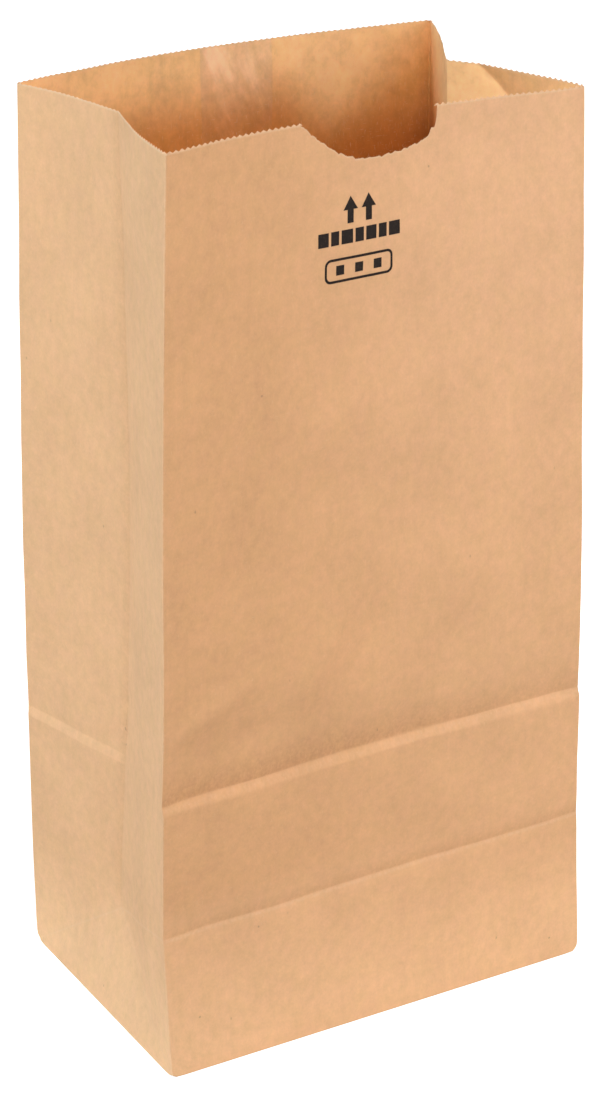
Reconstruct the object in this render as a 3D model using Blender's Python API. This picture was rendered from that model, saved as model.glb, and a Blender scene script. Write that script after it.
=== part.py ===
"""A brown paper lunch bag: one gusseted tube of kraft paper, glued along a lap seam, whose lower
end is folded and pasted into a flat base. It is modelled as it stands opened on a table.

The sheet is laid out flat first. A point on it has two paper coordinates: a distance round the
tube, which starts at the front left edge and runs to the right, and a height above the base
fold. The crease pattern then says where each point of the paper is in the standing bag.

Axes: +X right, +Y back, +Z up. The origin is the middle of the underside. Units are metres.
"""

import math

import bpy
import numpy as np
from mathutils import Vector
from mathutils.geometry import delaunay_2d_cdt

MM = 0.001

# The opened bag
WIDTH = 181 * MM
DEPTH = 115 * MM
HEIGHT = 348 * MM
PAPER = 0.15 * MM

# Base: how far the two flaps lap over each other, and the radius of the folded edge
FLAP_LAP = 25 * MM
FOLD_RADIUS = 0.8 * MM

# Lap seam on the back panel: the side of it that is nearer the middle, and its width
SEAM_LEFT_X = -9 * MM
SEAM_WIDTH = 31 * MM

# Edges cut with a toothed knife
TOOTH_PITCH = 2.4 * MM
TOOTH_DEPTH = 0.55 * MM

# Thumb notch in the front panel. A sweep near 0.2 is a steep side, near 1 an open one
NOTCH_CENTRE_X = -3.8 * MM
NOTCH_WIDTH = 59.5 * MM
NOTCH_DEPTH = 14.8 * MM
NOTCH_SWEEP_LEFT = 1.15
NOTCH_SWEEP_RIGHT = 0.25
NOTCH_POINTS = 24

# The cut runs a little high beside the notch: by how much, round which place and how far
RIM_RISE = 2.2 * MM
RIM_RISE_CENTRE = 0.28 * WIDTH
RIM_RISE_REACH = 0.72 * WIDTH

# Heights on the paper of the gusset's lower end and of the valley crease across the front
APEX_HEIGHT = 40 * MM
VALLEY_HEIGHT = DEPTH / 2

# Lines that the base's edge pressed into the walls while the bag lay flat
FRONT_LINE_HEIGHT = 113 * MM
SIDE_LINE_HEIGHT = 104 * MM
LINE_RISE = 4.5 * MM
LINE_FADE = 22 * MM
FRONT_LINE_DEPTH = 1.3 * MM
SIDE_LINE_DEPTH = 0.5 * MM
LINE_END_REACH = 16 * MM
LINE_END_STRENGTH = 0.25

# How far the front is drawn in at the valley crease, and where each edge stands at the rim
VALLEY_IN = 3.4 * MM
VALLEY_FLARE = 1.5 * MM
VALLEY_RELEASE = DEPTH
RIM_SHIFT = {
    "front_left": (3.3 * MM, -2.4 * MM),
    "front_right": (-5.8 * MM, 10.4 * MM),
    "back_right": (-0.5 * MM, 4.5 * MM),
    "back_left": (3.6 * MM, -4.5 * MM),
}
FRONT_RIGHT_DROP = 1.0 * MM

# How far each edge bows outwards between its ends, for the front edges above the valley crease
EDGE_BOW = {
    "front_left": 2.3 * MM,
    "front_right": 0.6 * MM,
    "back_right": 0.0 * MM,
    "back_left": 2.1 * MM,
}

# How deep the gusset folds stand inside the line between the two edges beside them
LEFT_TUCK_APEX = 10.5 * MM
LEFT_TUCK_RIM = 13 * MM
RIGHT_TUCK_APEX = 9 * MM
RIGHT_TUCK_RIM = 25 * MM
LEFT_TUCK_SWELL = 5 * MM
RIGHT_TUCK_SWELL = 3.3 * MM
LEFT_FOLD_BACK = 3 * MM

# How far the panels bow between their edges, at the rim
FRONT_BOW_IN = 4.5 * MM
BACK_BOW_OUT = 9.5 * MM
GUSSET_FRONT_BOW = 2.2 * MM
LEFT_BACK_BOW = -2 * MM
RIGHT_BACK_BOW = 1.8 * MM

# Half the width of a cut edge's ramp, and how far paper takes to settle beside a step
STEP = 0.04 * MM
SETTLE = 7 * MM

# Spacing of the points that carry the gentle curves
PANEL_SPACING = 15 * MM
RIM_SPACING = 7.5 * MM
ROW_HEIGHTS = (0.24, 0.42, 0.60, 0.78, 0.92)

PERIMETER = 2 * (WIDTH + DEPTH)
FRONT_RIGHT = WIDTH
RIGHT_FOLD = WIDTH + DEPTH / 2
BACK_RIGHT = WIDTH + DEPTH
BACK_LEFT = 2 * WIDTH + DEPTH
LEFT_FOLD = 2 * WIDTH + 1.5 * DEPTH
SEAM_START = BACK_RIGHT + WIDTH / 2 - SEAM_LEFT_X - SEAM_WIDTH
SEAM_END = SEAM_START + SEAM_WIDTH
SEAM_LINES = (SEAM_START - STEP, SEAM_START + STEP, SEAM_END - STEP, SEAM_END + STEP, SEAM_END + SETTLE)

# The base's flat part, the distance from its middle to its side flaps' cut ends, and how far
# past the middle each long flap reaches
BASE_HALF_X = WIDTH / 2 - FOLD_RADIUS
BASE_HALF_Y = DEPTH / 2 - FOLD_RADIUS
SIDE_FLAP_END = WIDTH / 2 - DEPTH / 2 - FLAP_LAP / 2
LONG_FLAP_END = FLAP_LAP / 2
CUT_HALF_X = SIDE_FLAP_END - TOOTH_PITCH / 2
CUT_HALF_Y = BASE_HALF_Y - 6 * STEP


def mix(a, b, share):
    """The point this share of the way from a to b."""
    return a + (b - a) * share


def front_draw(height):
    """How far the front is drawn in at this height, as a share of its most, at the valley."""
    if height <= VALLEY_HEIGHT:
        return height / VALLEY_HEIGHT
    return max(0.0, 1 - (height - VALLEY_HEIGHT) / VALLEY_RELEASE) ** 1.5


def pressed_line(height, line_height, depth):
    """Depth of a pressed line, which rises steeply to its deepest and fades out above it."""
    rise = (height - line_height + LINE_RISE) / LINE_RISE
    fade = 1 - (height - line_height) / LINE_FADE
    return depth * max(0.0, min(rise, fade, 1.0))


def edge_bow(name, height):
    """How far a vertical edge bows outwards at this height."""
    start = VALLEY_HEIGHT if name.startswith("front") else 0.0
    if height <= start:
        return 0.0
    share = min(1.0, (height - start) / (HEIGHT - start))
    return EDGE_BOW[name] * math.sin(math.pi * share ** 0.85)


def edge_point(name, height):
    """Where a vertical edge of the bag is at this height on the paper."""
    side_x = -1 if name.endswith("left") else 1
    side_y = -1 if name.startswith("front") else 1
    shift_x, shift_y = RIM_SHIFT[name]
    lean = height / HEIGHT
    point = np.array([side_x * WIDTH / 2 + shift_x * lean, side_y * DEPTH / 2 + shift_y * lean, height])
    point[0] += side_x * edge_bow(name, height)
    if name.startswith("front"):
        point[0] += side_x * VALLEY_FLARE * front_draw(height)
        point[1] += VALLEY_IN * front_draw(height)
    if name == "front_right":
        point[2] -= FRONT_RIGHT_DROP * lean
    return point


def fold_point(side, height):
    """Where the middle fold of a gusset is, at a height at or above its lower end."""
    left = side == "left"
    at_apex, at_rim = (LEFT_TUCK_APEX, LEFT_TUCK_RIM) if left else (RIGHT_TUCK_APEX, RIGHT_TUCK_RIM)
    share = (height - APEX_HEIGHT) / (HEIGHT - APEX_HEIGHT)
    swell = LEFT_TUCK_SWELL if left else RIGHT_TUCK_SWELL
    tuck = mix(at_apex, at_rim, share) + swell * math.sin(math.pi * share)
    point = mix(edge_point("front_" + side, height), edge_point("back_" + side, height), 0.5)
    point[0] += tuck if left else -tuck
    if left:
        point[1] += LEFT_FOLD_BACK * share ** 2
    return point


def panel_point(first, second, share, height, bow):
    """A point of the front or back panel, this share of the way from one edge to the other."""
    point = mix(edge_point(first, height), edge_point(second, height), share)
    point[1] += bow * math.sin(math.pi * share) * (height / HEIGHT) ** 2
    return point


def front_point(around, height):
    """A point of the front panel, with the line pressed across it."""
    point = panel_point("front_left", "front_right", around / WIDTH, height, FRONT_BOW_IN)
    from_edge = min(around, WIDTH - around)
    strength = min(1.0, mix(LINE_END_STRENGTH, 1.0, from_edge / LINE_END_REACH))
    point[1] += strength * pressed_line(height, FRONT_LINE_HEIGHT, FRONT_LINE_DEPTH)
    return point


def gusset_point(side, from_front, height):
    """A point of a gusset, a distance back from its front edge."""
    half = DEPTH / 2
    in_front = from_front <= half
    edge_name = ("front_" if in_front else "back_") + side
    share = (from_front if in_front else DEPTH - from_front) / half
    apex = fold_point(side, APEX_HEIGHT)
    if height <= APEX_HEIGHT * share:
        return below_apex(side, apex, from_front, height)
    if in_front and height <= mix(VALLEY_HEIGHT, APEX_HEIGHT, share):
        corner = edge_point(edge_name, 0)
        valley = edge_point(edge_name, VALLEY_HEIGHT)
        up = (height - APEX_HEIGHT * share) / VALLEY_HEIGHT
        return corner + (apex - corner) * share + (valley - corner) * up
    start = VALLEY_HEIGHT if in_front else 0.0
    floor = mix(start, APEX_HEIGHT, share)
    up = (height - floor) / (HEIGHT - floor)
    edge = edge_point(edge_name, mix(start, HEIGHT, up))
    point = mix(edge, fold_point(side, mix(APEX_HEIGHT, HEIGHT, up)), share)
    outward = -1 if side == "left" else 1
    back_bow = LEFT_BACK_BOW if side == "left" else RIGHT_BACK_BOW
    bow = GUSSET_FRONT_BOW if in_front else back_bow
    point[0] += outward * bow * math.sin(math.pi * share) * up ** 2
    if not in_front:
        line = pressed_line(height, SIDE_LINE_HEIGHT, SIDE_LINE_DEPTH)
        point[0] -= outward * line * math.sqrt(1 - share)
    return point


def below_apex(side, apex, from_front, height):
    """A point of the flat triangle between the base fold and the gusset's lower end."""
    up = height / APEX_HEIGHT
    low = mix(edge_point("front_" + side, 0), apex, up)
    high = mix(edge_point("back_" + side, 0), apex, up)
    near = up * DEPTH / 2
    span = DEPTH - 2 * near
    return mix(low, high, (from_front - near) / span if span > 1e-9 else 0.5)


def sheet_point(around, height):
    """Where a point of the paper is in the standing bag."""
    if around <= FRONT_RIGHT:
        return front_point(around, height)
    if around <= BACK_RIGHT:
        return gusset_point("right", around - FRONT_RIGHT, height)
    if around <= BACK_LEFT:
        share = (around - BACK_RIGHT) / WIDTH
        return panel_point("back_right", "back_left", share, height, BACK_BOW_OUT)
    return gusset_point("left", PERIMETER - around, height)


def outer_step(around):
    """How far the outer face lies inside the sheet's face, where it settles past the seam's end."""
    if not SEAM_END < around < SEAM_END + SETTLE:
        return 0.0
    return PAPER * (1 - (around - SEAM_END) / SETTLE)


def plies(around):
    """How many sheets of paper there are at this distance round the tube."""
    return 2 if SEAM_START < around < SEAM_END else 1


def rim_rise(around):
    """How far the cut runs above its nominal height at this distance round the tube."""
    away = (around - RIM_RISE_CENTRE + PERIMETER / 2) % PERIMETER - PERIMETER / 2
    if abs(away) >= RIM_RISE_REACH:
        return 0.0
    return RIM_RISE * math.cos(math.pi / 2 * away / RIM_RISE_REACH) ** 2


def rim_height(around):
    """The height of the cut rim, with its teeth and the thumb notch."""
    phase = around / PERIMETER * round(PERIMETER / TOOTH_PITCH)
    tooth = TOOTH_DEPTH * abs(2 * (phase - math.floor(phase)) - 1)
    cut = HEIGHT - tooth + rim_rise(around)
    offset = (around - WIDTH / 2 - NOTCH_CENTRE_X) / (NOTCH_WIDTH / 2)
    if abs(offset) >= 1:
        return cut
    sweep = NOTCH_SWEEP_LEFT if offset < 0 else NOTCH_SWEEP_RIGHT
    return cut - NOTCH_DEPTH * (1 - offset * offset) ** sweep


def rim_stations():
    """Distances round the tube of the rim's points, from 0 to the perimeter."""
    halves = 2 * round(PERIMETER / TOOTH_PITCH)
    left = WIDTH / 2 + NOTCH_CENTRE_X - NOTCH_WIDTH / 2
    right = left + NOTCH_WIDTH
    found = {i * PERIMETER / halves for i in range(halves + 1)}
    found = {s for s in found if not left <= s <= right}
    for i in range(NOTCH_POINTS + 1):
        found.add(mix(left, right, (1 - math.cos(math.pi * i / NOTCH_POINTS)) / 2))
    fixed = {FRONT_RIGHT, RIGHT_FOLD, BACK_RIGHT, BACK_LEFT, LEFT_FOLD, *SEAM_LINES}
    close = TOOTH_PITCH / 8
    return sorted(fixed | {s for s in found if all(abs(s - f) > close for f in fixed)})


def even_places(start, end, spacing):
    """Places between start and end that part it evenly, about this far from each other."""
    count = round((end - start) / spacing)
    return [mix(start, end, i / count) for i in range(1, count)]


class Plan:
    """Points and lines gathered for one flat region."""

    def __init__(self):
        self.points = []
        self.lines = []
        self.index = {}

    def point(self, x, y):
        """The number of the point at this place, added if it's new."""
        key = (round(x, 8), round(y, 8))
        if key not in self.index:
            self.index[key] = len(self.points)
            self.points.append((x, y))
        return self.index[key]

    def path(self, places):
        """Joins these places by lines, one after another."""
        ids = [self.point(x, y) for x, y in places]
        self.lines += [(a, b) for a, b in zip(ids, ids[1:]) if a != b]

    def triangles(self):
        """Points and anticlockwise triangles of the region that the lines enclose."""
        corners = [Vector(p) for p in self.points]
        verts, _, faces, _, _, _ = delaunay_2d_cdt(corners, self.lines, [], 1, 1e-7)
        places = [(v.x, v.y) for v in verts]
        return places, [anticlockwise(places, tuple(f)) for f in faces]


def anticlockwise(places, face):
    """The triangle, turned if its corners run clockwise."""
    (ax, ay), (bx, by), (cx, cy) = (places[i] for i in face)
    return face if (bx - ax) * (cy - ay) > (cx - ax) * (by - ay) else face[::-1]


def rows_of_line(line_height):
    """Heights at which a pressed line begins, is deepest and has faded out."""
    return [line_height - LINE_RISE, line_height, line_height + LINE_FADE]


def wall_plan():
    """The walls laid flat: their outline, and the creases and soft rows that cross them."""
    plan = Plan()
    rim = {s: rim_height(s) for s in rim_stations()}
    plan.path(rim.items())
    plan.path([(s, FOLD_RADIUS) for s in wall_base_stations()])
    edges = [0, FRONT_RIGHT, RIGHT_FOLD, BACK_RIGHT, BACK_LEFT, LEFT_FOLD, PERIMETER]
    front_rows = [VALLEY_HEIGHT, *rows_of_line(FRONT_LINE_HEIGHT)]
    side_rows = rows_of_line(SIDE_LINE_HEIGHT)
    upper = [HEIGHT * share for share in ROW_HEIGHTS]
    for s in [*edges, *SEAM_LINES]:
        rows = {*upper, rim[s]}
        if s in (0, FRONT_RIGHT, PERIMETER):
            rows |= {FOLD_RADIUS, *front_rows}
        elif s in (LEFT_FOLD, RIGHT_FOLD):
            rows |= {APEX_HEIGHT, *side_rows}
        elif s in (BACK_LEFT, BACK_RIGHT):
            rows |= {FOLD_RADIUS, *side_rows}
        else:
            rows.add(FOLD_RADIUS)
        plan.path([(s, row) for row in sorted(rows)])
    for row in front_rows:
        plan.path([(0, row), (FRONT_RIGHT, row)])
        scatter(plan, row, FRONT_RIGHT, PANEL_SPACING, edges)
    for row in side_rows:
        plan.path([(BACK_RIGHT, row), (RIGHT_FOLD, row)])
        plan.path([(BACK_LEFT, row), (LEFT_FOLD, row)])
    for row in upper:
        spacing = RIM_SPACING if row == upper[-1] else PANEL_SPACING
        scatter(plan, row, PERIMETER, spacing, [*edges, *SEAM_LINES])
    for fold, front, back in ((RIGHT_FOLD, FRONT_RIGHT, BACK_RIGHT), (LEFT_FOLD, PERIMETER, BACK_LEFT)):
        plan.path([(front, VALLEY_HEIGHT), (fold, APEX_HEIGHT)])
        for edge in (front, back):
            plan.path([(mix(edge, fold, FOLD_RADIUS / APEX_HEIGHT), FOLD_RADIUS), (fold, APEX_HEIGHT)])
    return plan


def scatter(plan, row, reach, spacing, lines):
    """Adds points along a row of the walls, clear of the lines that cross it."""
    for s in even_places(0, reach, spacing):
        if min(abs(s - line) for line in lines) > spacing / 3 and row < rim_height(s) - spacing / 3:
            plan.point(s, row)


def wall_base_stations():
    """Distances round the tube of the points that the walls share with the base."""
    lead = FOLD_RADIUS / APEX_HEIGHT * DEPTH / 2
    side = [0, lead, *even_places(0, DEPTH, PANEL_SPACING), DEPTH - lead, DEPTH]
    found = [0, *even_places(0, WIDTH, PANEL_SPACING), WIDTH]
    found += [FRONT_RIGHT + d for d in side]
    found += [s for s in even_places(BACK_RIGHT, BACK_LEFT, PANEL_SPACING)
              if all(abs(s - line) > PANEL_SPACING / 3 for line in SEAM_LINES)]
    found += SEAM_LINES
    found += [BACK_LEFT + d for d in side]
    return sorted({round(s, 9) for s in found})


def base_place(around):
    """Where on the base's flat outline the wall above it stands."""
    half_x, half_y = WIDTH / 2, DEPTH / 2
    if around <= FRONT_RIGHT:
        x, y = around - half_x, -half_y
    elif around <= BACK_RIGHT:
        x, y = half_x, around - FRONT_RIGHT - half_y
    elif around <= BACK_LEFT:
        x, y = half_x - (around - BACK_RIGHT), half_y
    else:
        x, y = -half_x, half_y - (around - BACK_LEFT)
    return x * BASE_HALF_X / half_x, y * BASE_HALF_Y / half_y


def tooth_count(half):
    """How many half teeth a cut from -half to half has."""
    return 2 * round(2 * half / TOOTH_PITCH)


def toothed_cut(half, level):
    """A toothed cut from -half to half: places along it, and how far out it is at each."""
    count = tooth_count(half)
    return [(mix(-half, half, i / count), level + i % 2 * TOOTH_DEPTH) for i in range(count + 1)]


def cut_level(half, level, along):
    """How far out a toothed cut is at one place along it."""
    phase = (along + half) / (2 * half) * tooth_count(half)
    return level + (1 - abs(phase % 2 - 1)) * TOOTH_DEPTH


def base_plan():
    """The base laid flat: its outline, the slanted flap folds and the cut ends."""
    plan = Plan()
    outline = [base_place(s) for s in wall_base_stations()[:-1]]
    plan.path([*outline, outline[0]])
    slant = BASE_HALF_Y + LONG_FLAP_END
    for shift in (-STEP, STEP):
        for side_x in (-1, 1):
            for side_y in (-1, 1):
                start = (side_x * (BASE_HALF_X - 2 * STEP), side_y * (BASE_HALF_Y - 2 * STEP - shift))
                end = (side_x * (BASE_HALF_X - slant), side_y * (BASE_HALF_Y - slant - shift))
                plan.path([start, end])
            side_cut = toothed_cut(CUT_HALF_Y, SIDE_FLAP_END)
            plan.path([(side_x * out + shift, y) for y, out in side_cut])
        for side_y in (-1, 1):
            long_cut = toothed_cut(CUT_HALF_X, LONG_FLAP_END)
            plan.path([(x, side_y * out + shift) for x, out in long_cut])
    return plan


def base_layers(x, y):
    """How far the base's underside is lifted here, and how many sheets it has."""
    from_side = BASE_HALF_X - abs(x)
    from_front, from_back = BASE_HALF_Y + y, BASE_HALF_Y - y
    flap_end = cut_level(CUT_HALF_X, LONG_FLAP_END, x)
    in_side = abs(x) > cut_level(CUT_HALF_Y, SIDE_FLAP_END, y)
    in_front = from_front < from_side and y < flap_end
    in_back = from_back < from_side and y > -flap_end
    sheets_per_flap = 2 if in_side else 1
    sheets = (1 if in_side else 0) + sheets_per_flap * (in_front + in_back)
    lift = 0.0
    if not in_front and not in_back:
        gap = min(from_front, from_back) - from_side
        lift = 2 * PAPER * max(0.0, 1 - gap / SETTLE)
    elif in_front and -flap_end > y and from_side > from_back:
        lift = PAPER * max(0.0, 1 - (-flap_end - y) / SETTLE)
    return lift, max(sheets, 1)


def inward_offsets(points, faces):
    """For each point, the step that moves each face beside it inwards by one unit."""
    corners = points[faces]
    normal = np.cross(corners[:, 1] - corners[:, 0], corners[:, 2] - corners[:, 0])
    normal /= np.maximum(np.linalg.norm(normal, axis=1, keepdims=True), 1e-18)
    total = np.zeros_like(points)
    for i in range(3):
        a = corners[:, (i + 1) % 3] - corners[:, i]
        b = corners[:, (i + 2) % 3] - corners[:, i]
        lengths = np.linalg.norm(a, axis=1) * np.linalg.norm(b, axis=1)
        angle = np.arccos(np.clip((a * b).sum(1) / np.maximum(lengths, 1e-18), -1, 1))
        np.add.at(total, faces[:, i], normal * angle[:, None])
    total /= np.maximum(np.linalg.norm(total, axis=1, keepdims=True), 1e-18)
    least = np.ones(len(points))
    for i in range(3):
        np.minimum.at(least, faces[:, i], (normal * total[faces[:, i]]).sum(1))
    return -total / np.maximum(least, 0.5)[:, None]


def wall_sheet():
    """Paper coordinates and triangles of the walls, with the sheet's two ends made one line."""
    places, faces = wall_plan().triangles()
    start = {round(h, 6): i for i, (s, h) in enumerate(places) if s < 1e-7}
    same = [start[round(h, 6)] if s > PERIMETER - 1e-7 else i for i, (s, h) in enumerate(places)]
    faces = [tuple(same[i] for i in face) for face in faces]
    used = sorted({i for face in faces for i in face})
    number = {old: new for new, old in enumerate(used)}
    return [places[i] for i in used], [tuple(number[i] for i in face) for face in faces]


def wall_skins(paper, faces):
    """The outer and the inner face of the walls, point for point."""
    sheet = np.array([sheet_point(s, h) for s, h in paper])
    inward = inward_offsets(sheet, np.array(faces))
    inward[:, 2] = 0
    step = np.array([outer_step(s) for s, _ in paper])
    thickness = np.array([PAPER * plies(s) for s, _ in paper])
    return sheet + inward * step[:, None], sheet + inward * (step + thickness)[:, None]


def base_skins(places):
    """The lower and the upper face of the base, point for point."""
    layers = [base_layers(x, y) for x, y in places]
    under = [(x, y, lift) for (x, y), (lift, _) in zip(places, layers)]
    floor = [(x, y, lift + sheets * PAPER) for (x, y), (lift, sheets) in zip(places, layers)]
    return np.array(under), np.array(floor)


def numbered_from(faces, start, turn=False):
    """The faces with their points numbered on from start, turned round if asked."""
    return [tuple(start + i for i in (face[::-1] if turn else face)) for face in faces]


def quad(a, b, c, d):
    """The two triangles of a four-sided face."""
    return [(a, b, c), (a, c, d)]


def open_edges(faces):
    """Directed edges that only one face uses."""
    seen = {edge for face in faces for edge in zip(face, (*face[1:], face[0]))}
    return sorted((a, b) for a, b in seen if (b, a) not in seen)


def place_key(place):
    """A place rounded, so that equal places compare equal."""
    return round(place[0], 6), round(place[1], 6)


def bag_mesh():
    """Vertices and faces of the whole bag, as one closed skin round the paper."""
    paper, wall_faces = wall_sheet()
    places, base_faces = base_plan().triangles()
    verts = np.vstack([*wall_skins(paper, wall_faces), *base_skins(places)])
    inner = len(paper)
    under = 2 * inner
    floor = under + len(places)
    faces = [*wall_faces, *numbered_from(wall_faces, inner, True)]
    faces += numbered_from(base_faces, under, True) + numbered_from(base_faces, floor)
    ring = {place_key(places[i]): i for edge in open_edges(base_faces) for i in edge}
    for a, b in open_edges(wall_faces):
        if min(paper[a][1], paper[b][1]) > 1.5 * FOLD_RADIUS:
            faces += quad(b, a, a + inner, b + inner)
            continue
        low_a, low_b = (ring[place_key(base_place(paper[i][0]))] for i in (a, b))
        faces += quad(b, a, under + low_a, under + low_b)
        faces += quad(a + inner, b + inner, floor + low_b, floor + low_a)
    return verts, faces


def kraft_material():
    """Unbleached kraft paper: a warm tan, dull and not metallic."""
    material = bpy.data.materials.new("kraft_paper")
    material.use_nodes = True
    shader = material.node_tree.nodes["Principled BSDF"]
    shader.inputs["Base Color"].default_value = (0.72, 0.47, 0.27, 1)
    shader.inputs["Roughness"].default_value = 0.85
    shader.inputs["Metallic"].default_value = 0
    return material


def main():
    """Clears the scene and adds the bag."""
    for obj in list(bpy.data.objects):
        bpy.data.objects.remove(obj)
    verts, faces = bag_mesh()
    mesh = bpy.data.meshes.new("paper_bag")
    mesh.from_pydata([tuple(v) for v in verts], [], faces)
    mesh.validate()
    mesh.materials.append(kraft_material())
    bpy.context.scene.collection.objects.link(bpy.data.objects.new("paper_bag", mesh))


main()
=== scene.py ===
"""The looks of a brown paper lunch bag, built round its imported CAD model.

The bag is one sheet of kraft paper. The sheet is described by two paper coordinates, as in the CAD
part: a distance round the tube from the front left edge, running to the right, and a height above
the base fold. A crease pattern gives the place of each point, and a gentle relief is added to it.

Axes: +X right, +Y back, +Z up, in metres, in the frame of the CAD model.
"""
import logging
import math
from collections.abc import Sequence
from dataclasses import dataclass, field
from enum import Enum

import bpy
import numpy as np
from bpy.types import ID, Material, Mesh, NodeSocket, NodeTree, Object
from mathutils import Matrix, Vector
from mathutils.geometry import delaunay_2d_cdt

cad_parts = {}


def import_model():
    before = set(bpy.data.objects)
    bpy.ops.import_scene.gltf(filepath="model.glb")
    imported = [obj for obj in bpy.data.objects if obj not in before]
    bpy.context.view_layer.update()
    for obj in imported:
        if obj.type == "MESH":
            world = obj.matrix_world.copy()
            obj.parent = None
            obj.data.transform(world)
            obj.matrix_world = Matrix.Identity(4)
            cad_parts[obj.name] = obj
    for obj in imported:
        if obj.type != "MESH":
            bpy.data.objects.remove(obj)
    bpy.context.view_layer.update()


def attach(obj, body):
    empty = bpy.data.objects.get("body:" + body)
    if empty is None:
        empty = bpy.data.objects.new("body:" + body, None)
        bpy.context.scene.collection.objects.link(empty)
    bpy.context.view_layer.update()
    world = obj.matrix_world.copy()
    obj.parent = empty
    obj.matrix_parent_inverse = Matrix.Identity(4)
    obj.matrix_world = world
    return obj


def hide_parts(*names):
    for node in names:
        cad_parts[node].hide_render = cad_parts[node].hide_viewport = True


LOG = logging.getLogger("paper_bag")
MM = 0.001
NODE = "paper_bag"
PAPER_MAP = "paper"
CUT_DISTANCE = "cut"
SAME_PLACE = 1e-7
SAME_PRINT = 1e-5

Array = np.ndarray
Pair = tuple[float, float]
Triple = tuple[float, float, float]
Colour = Triple
Outline = tuple[Pair, ...]
Triangle = tuple[int, int, int]


def mix(a: Array | float, b: Array | float, share: Array | float) -> Array | float:
    """The value this share of the way from a to b."""
    return a + (b - a) * share


def smooth(value: Array, low: float, high: float) -> Array:
    """A soft step from 0 at low to 1 at high."""
    t = np.clip((value - low) / (high - low), 0, 1)
    return t * t * (3 - 2 * t)


def unit(vectors: Array) -> Array:
    """The vectors, each made one unit long."""
    return vectors / np.maximum(np.linalg.norm(vectors, axis=1, keepdims=True), 1e-12)


def ripple(around: Array, waves: tuple[Triple, ...]) -> Array:
    """The sum of sine waves, each of a size, a length over 2 pi and a phase, with lengths in millimetres."""
    return sum(size * np.sin(around / (length * MM) + phase) for size, length, phase in waves) * MM


def turned_up(face: Sequence[int], places: Sequence[Pair]) -> Triangle:
    """A triangle's corners in anticlockwise order."""
    (ax, ay), (bx, by), (cx, cy) = (places[i] for i in face)
    forward = (bx - ax) * (cy - ay) > (cx - ax) * (by - ay)
    return tuple(face) if forward else tuple(reversed(face))


class Side(Enum):
    """The sides that have a gusset, by the direction in x that is outward."""

    LEFT = -1
    RIGHT = 1


class Corner(Enum):
    """The long edges: sides in x and y, then the shift by the rim and the outward bow, in millimetres."""

    FRONT_LEFT = (-1, -1, 3.3, -2.4, 2.3)
    FRONT_RIGHT = (1, -1, -5.8, 10.4, 0.6)
    BACK_RIGHT = (1, 1, -0.5, 4.5, 0.0)
    BACK_LEFT = (-1, 1, 3.6, -4.5, 2.1)


FRONT_CORNER = {Side.LEFT: Corner.FRONT_LEFT, Side.RIGHT: Corner.FRONT_RIGHT}
BACK_CORNER = {Side.LEFT: Corner.BACK_LEFT, Side.RIGHT: Corner.BACK_RIGHT}


def by_side(left: float, right: float) -> dict[Side, float]:
    """A dataclass field that holds one length for each side, given here in millimetres."""
    return field(default_factory=lambda: {Side.LEFT: left * MM, Side.RIGHT: right * MM})


def at_mm(*places: float) -> Array:
    """A dataclass field that holds a row of distances, given here in millimetres."""
    return field(default_factory=lambda: np.array(places) * MM)


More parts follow.
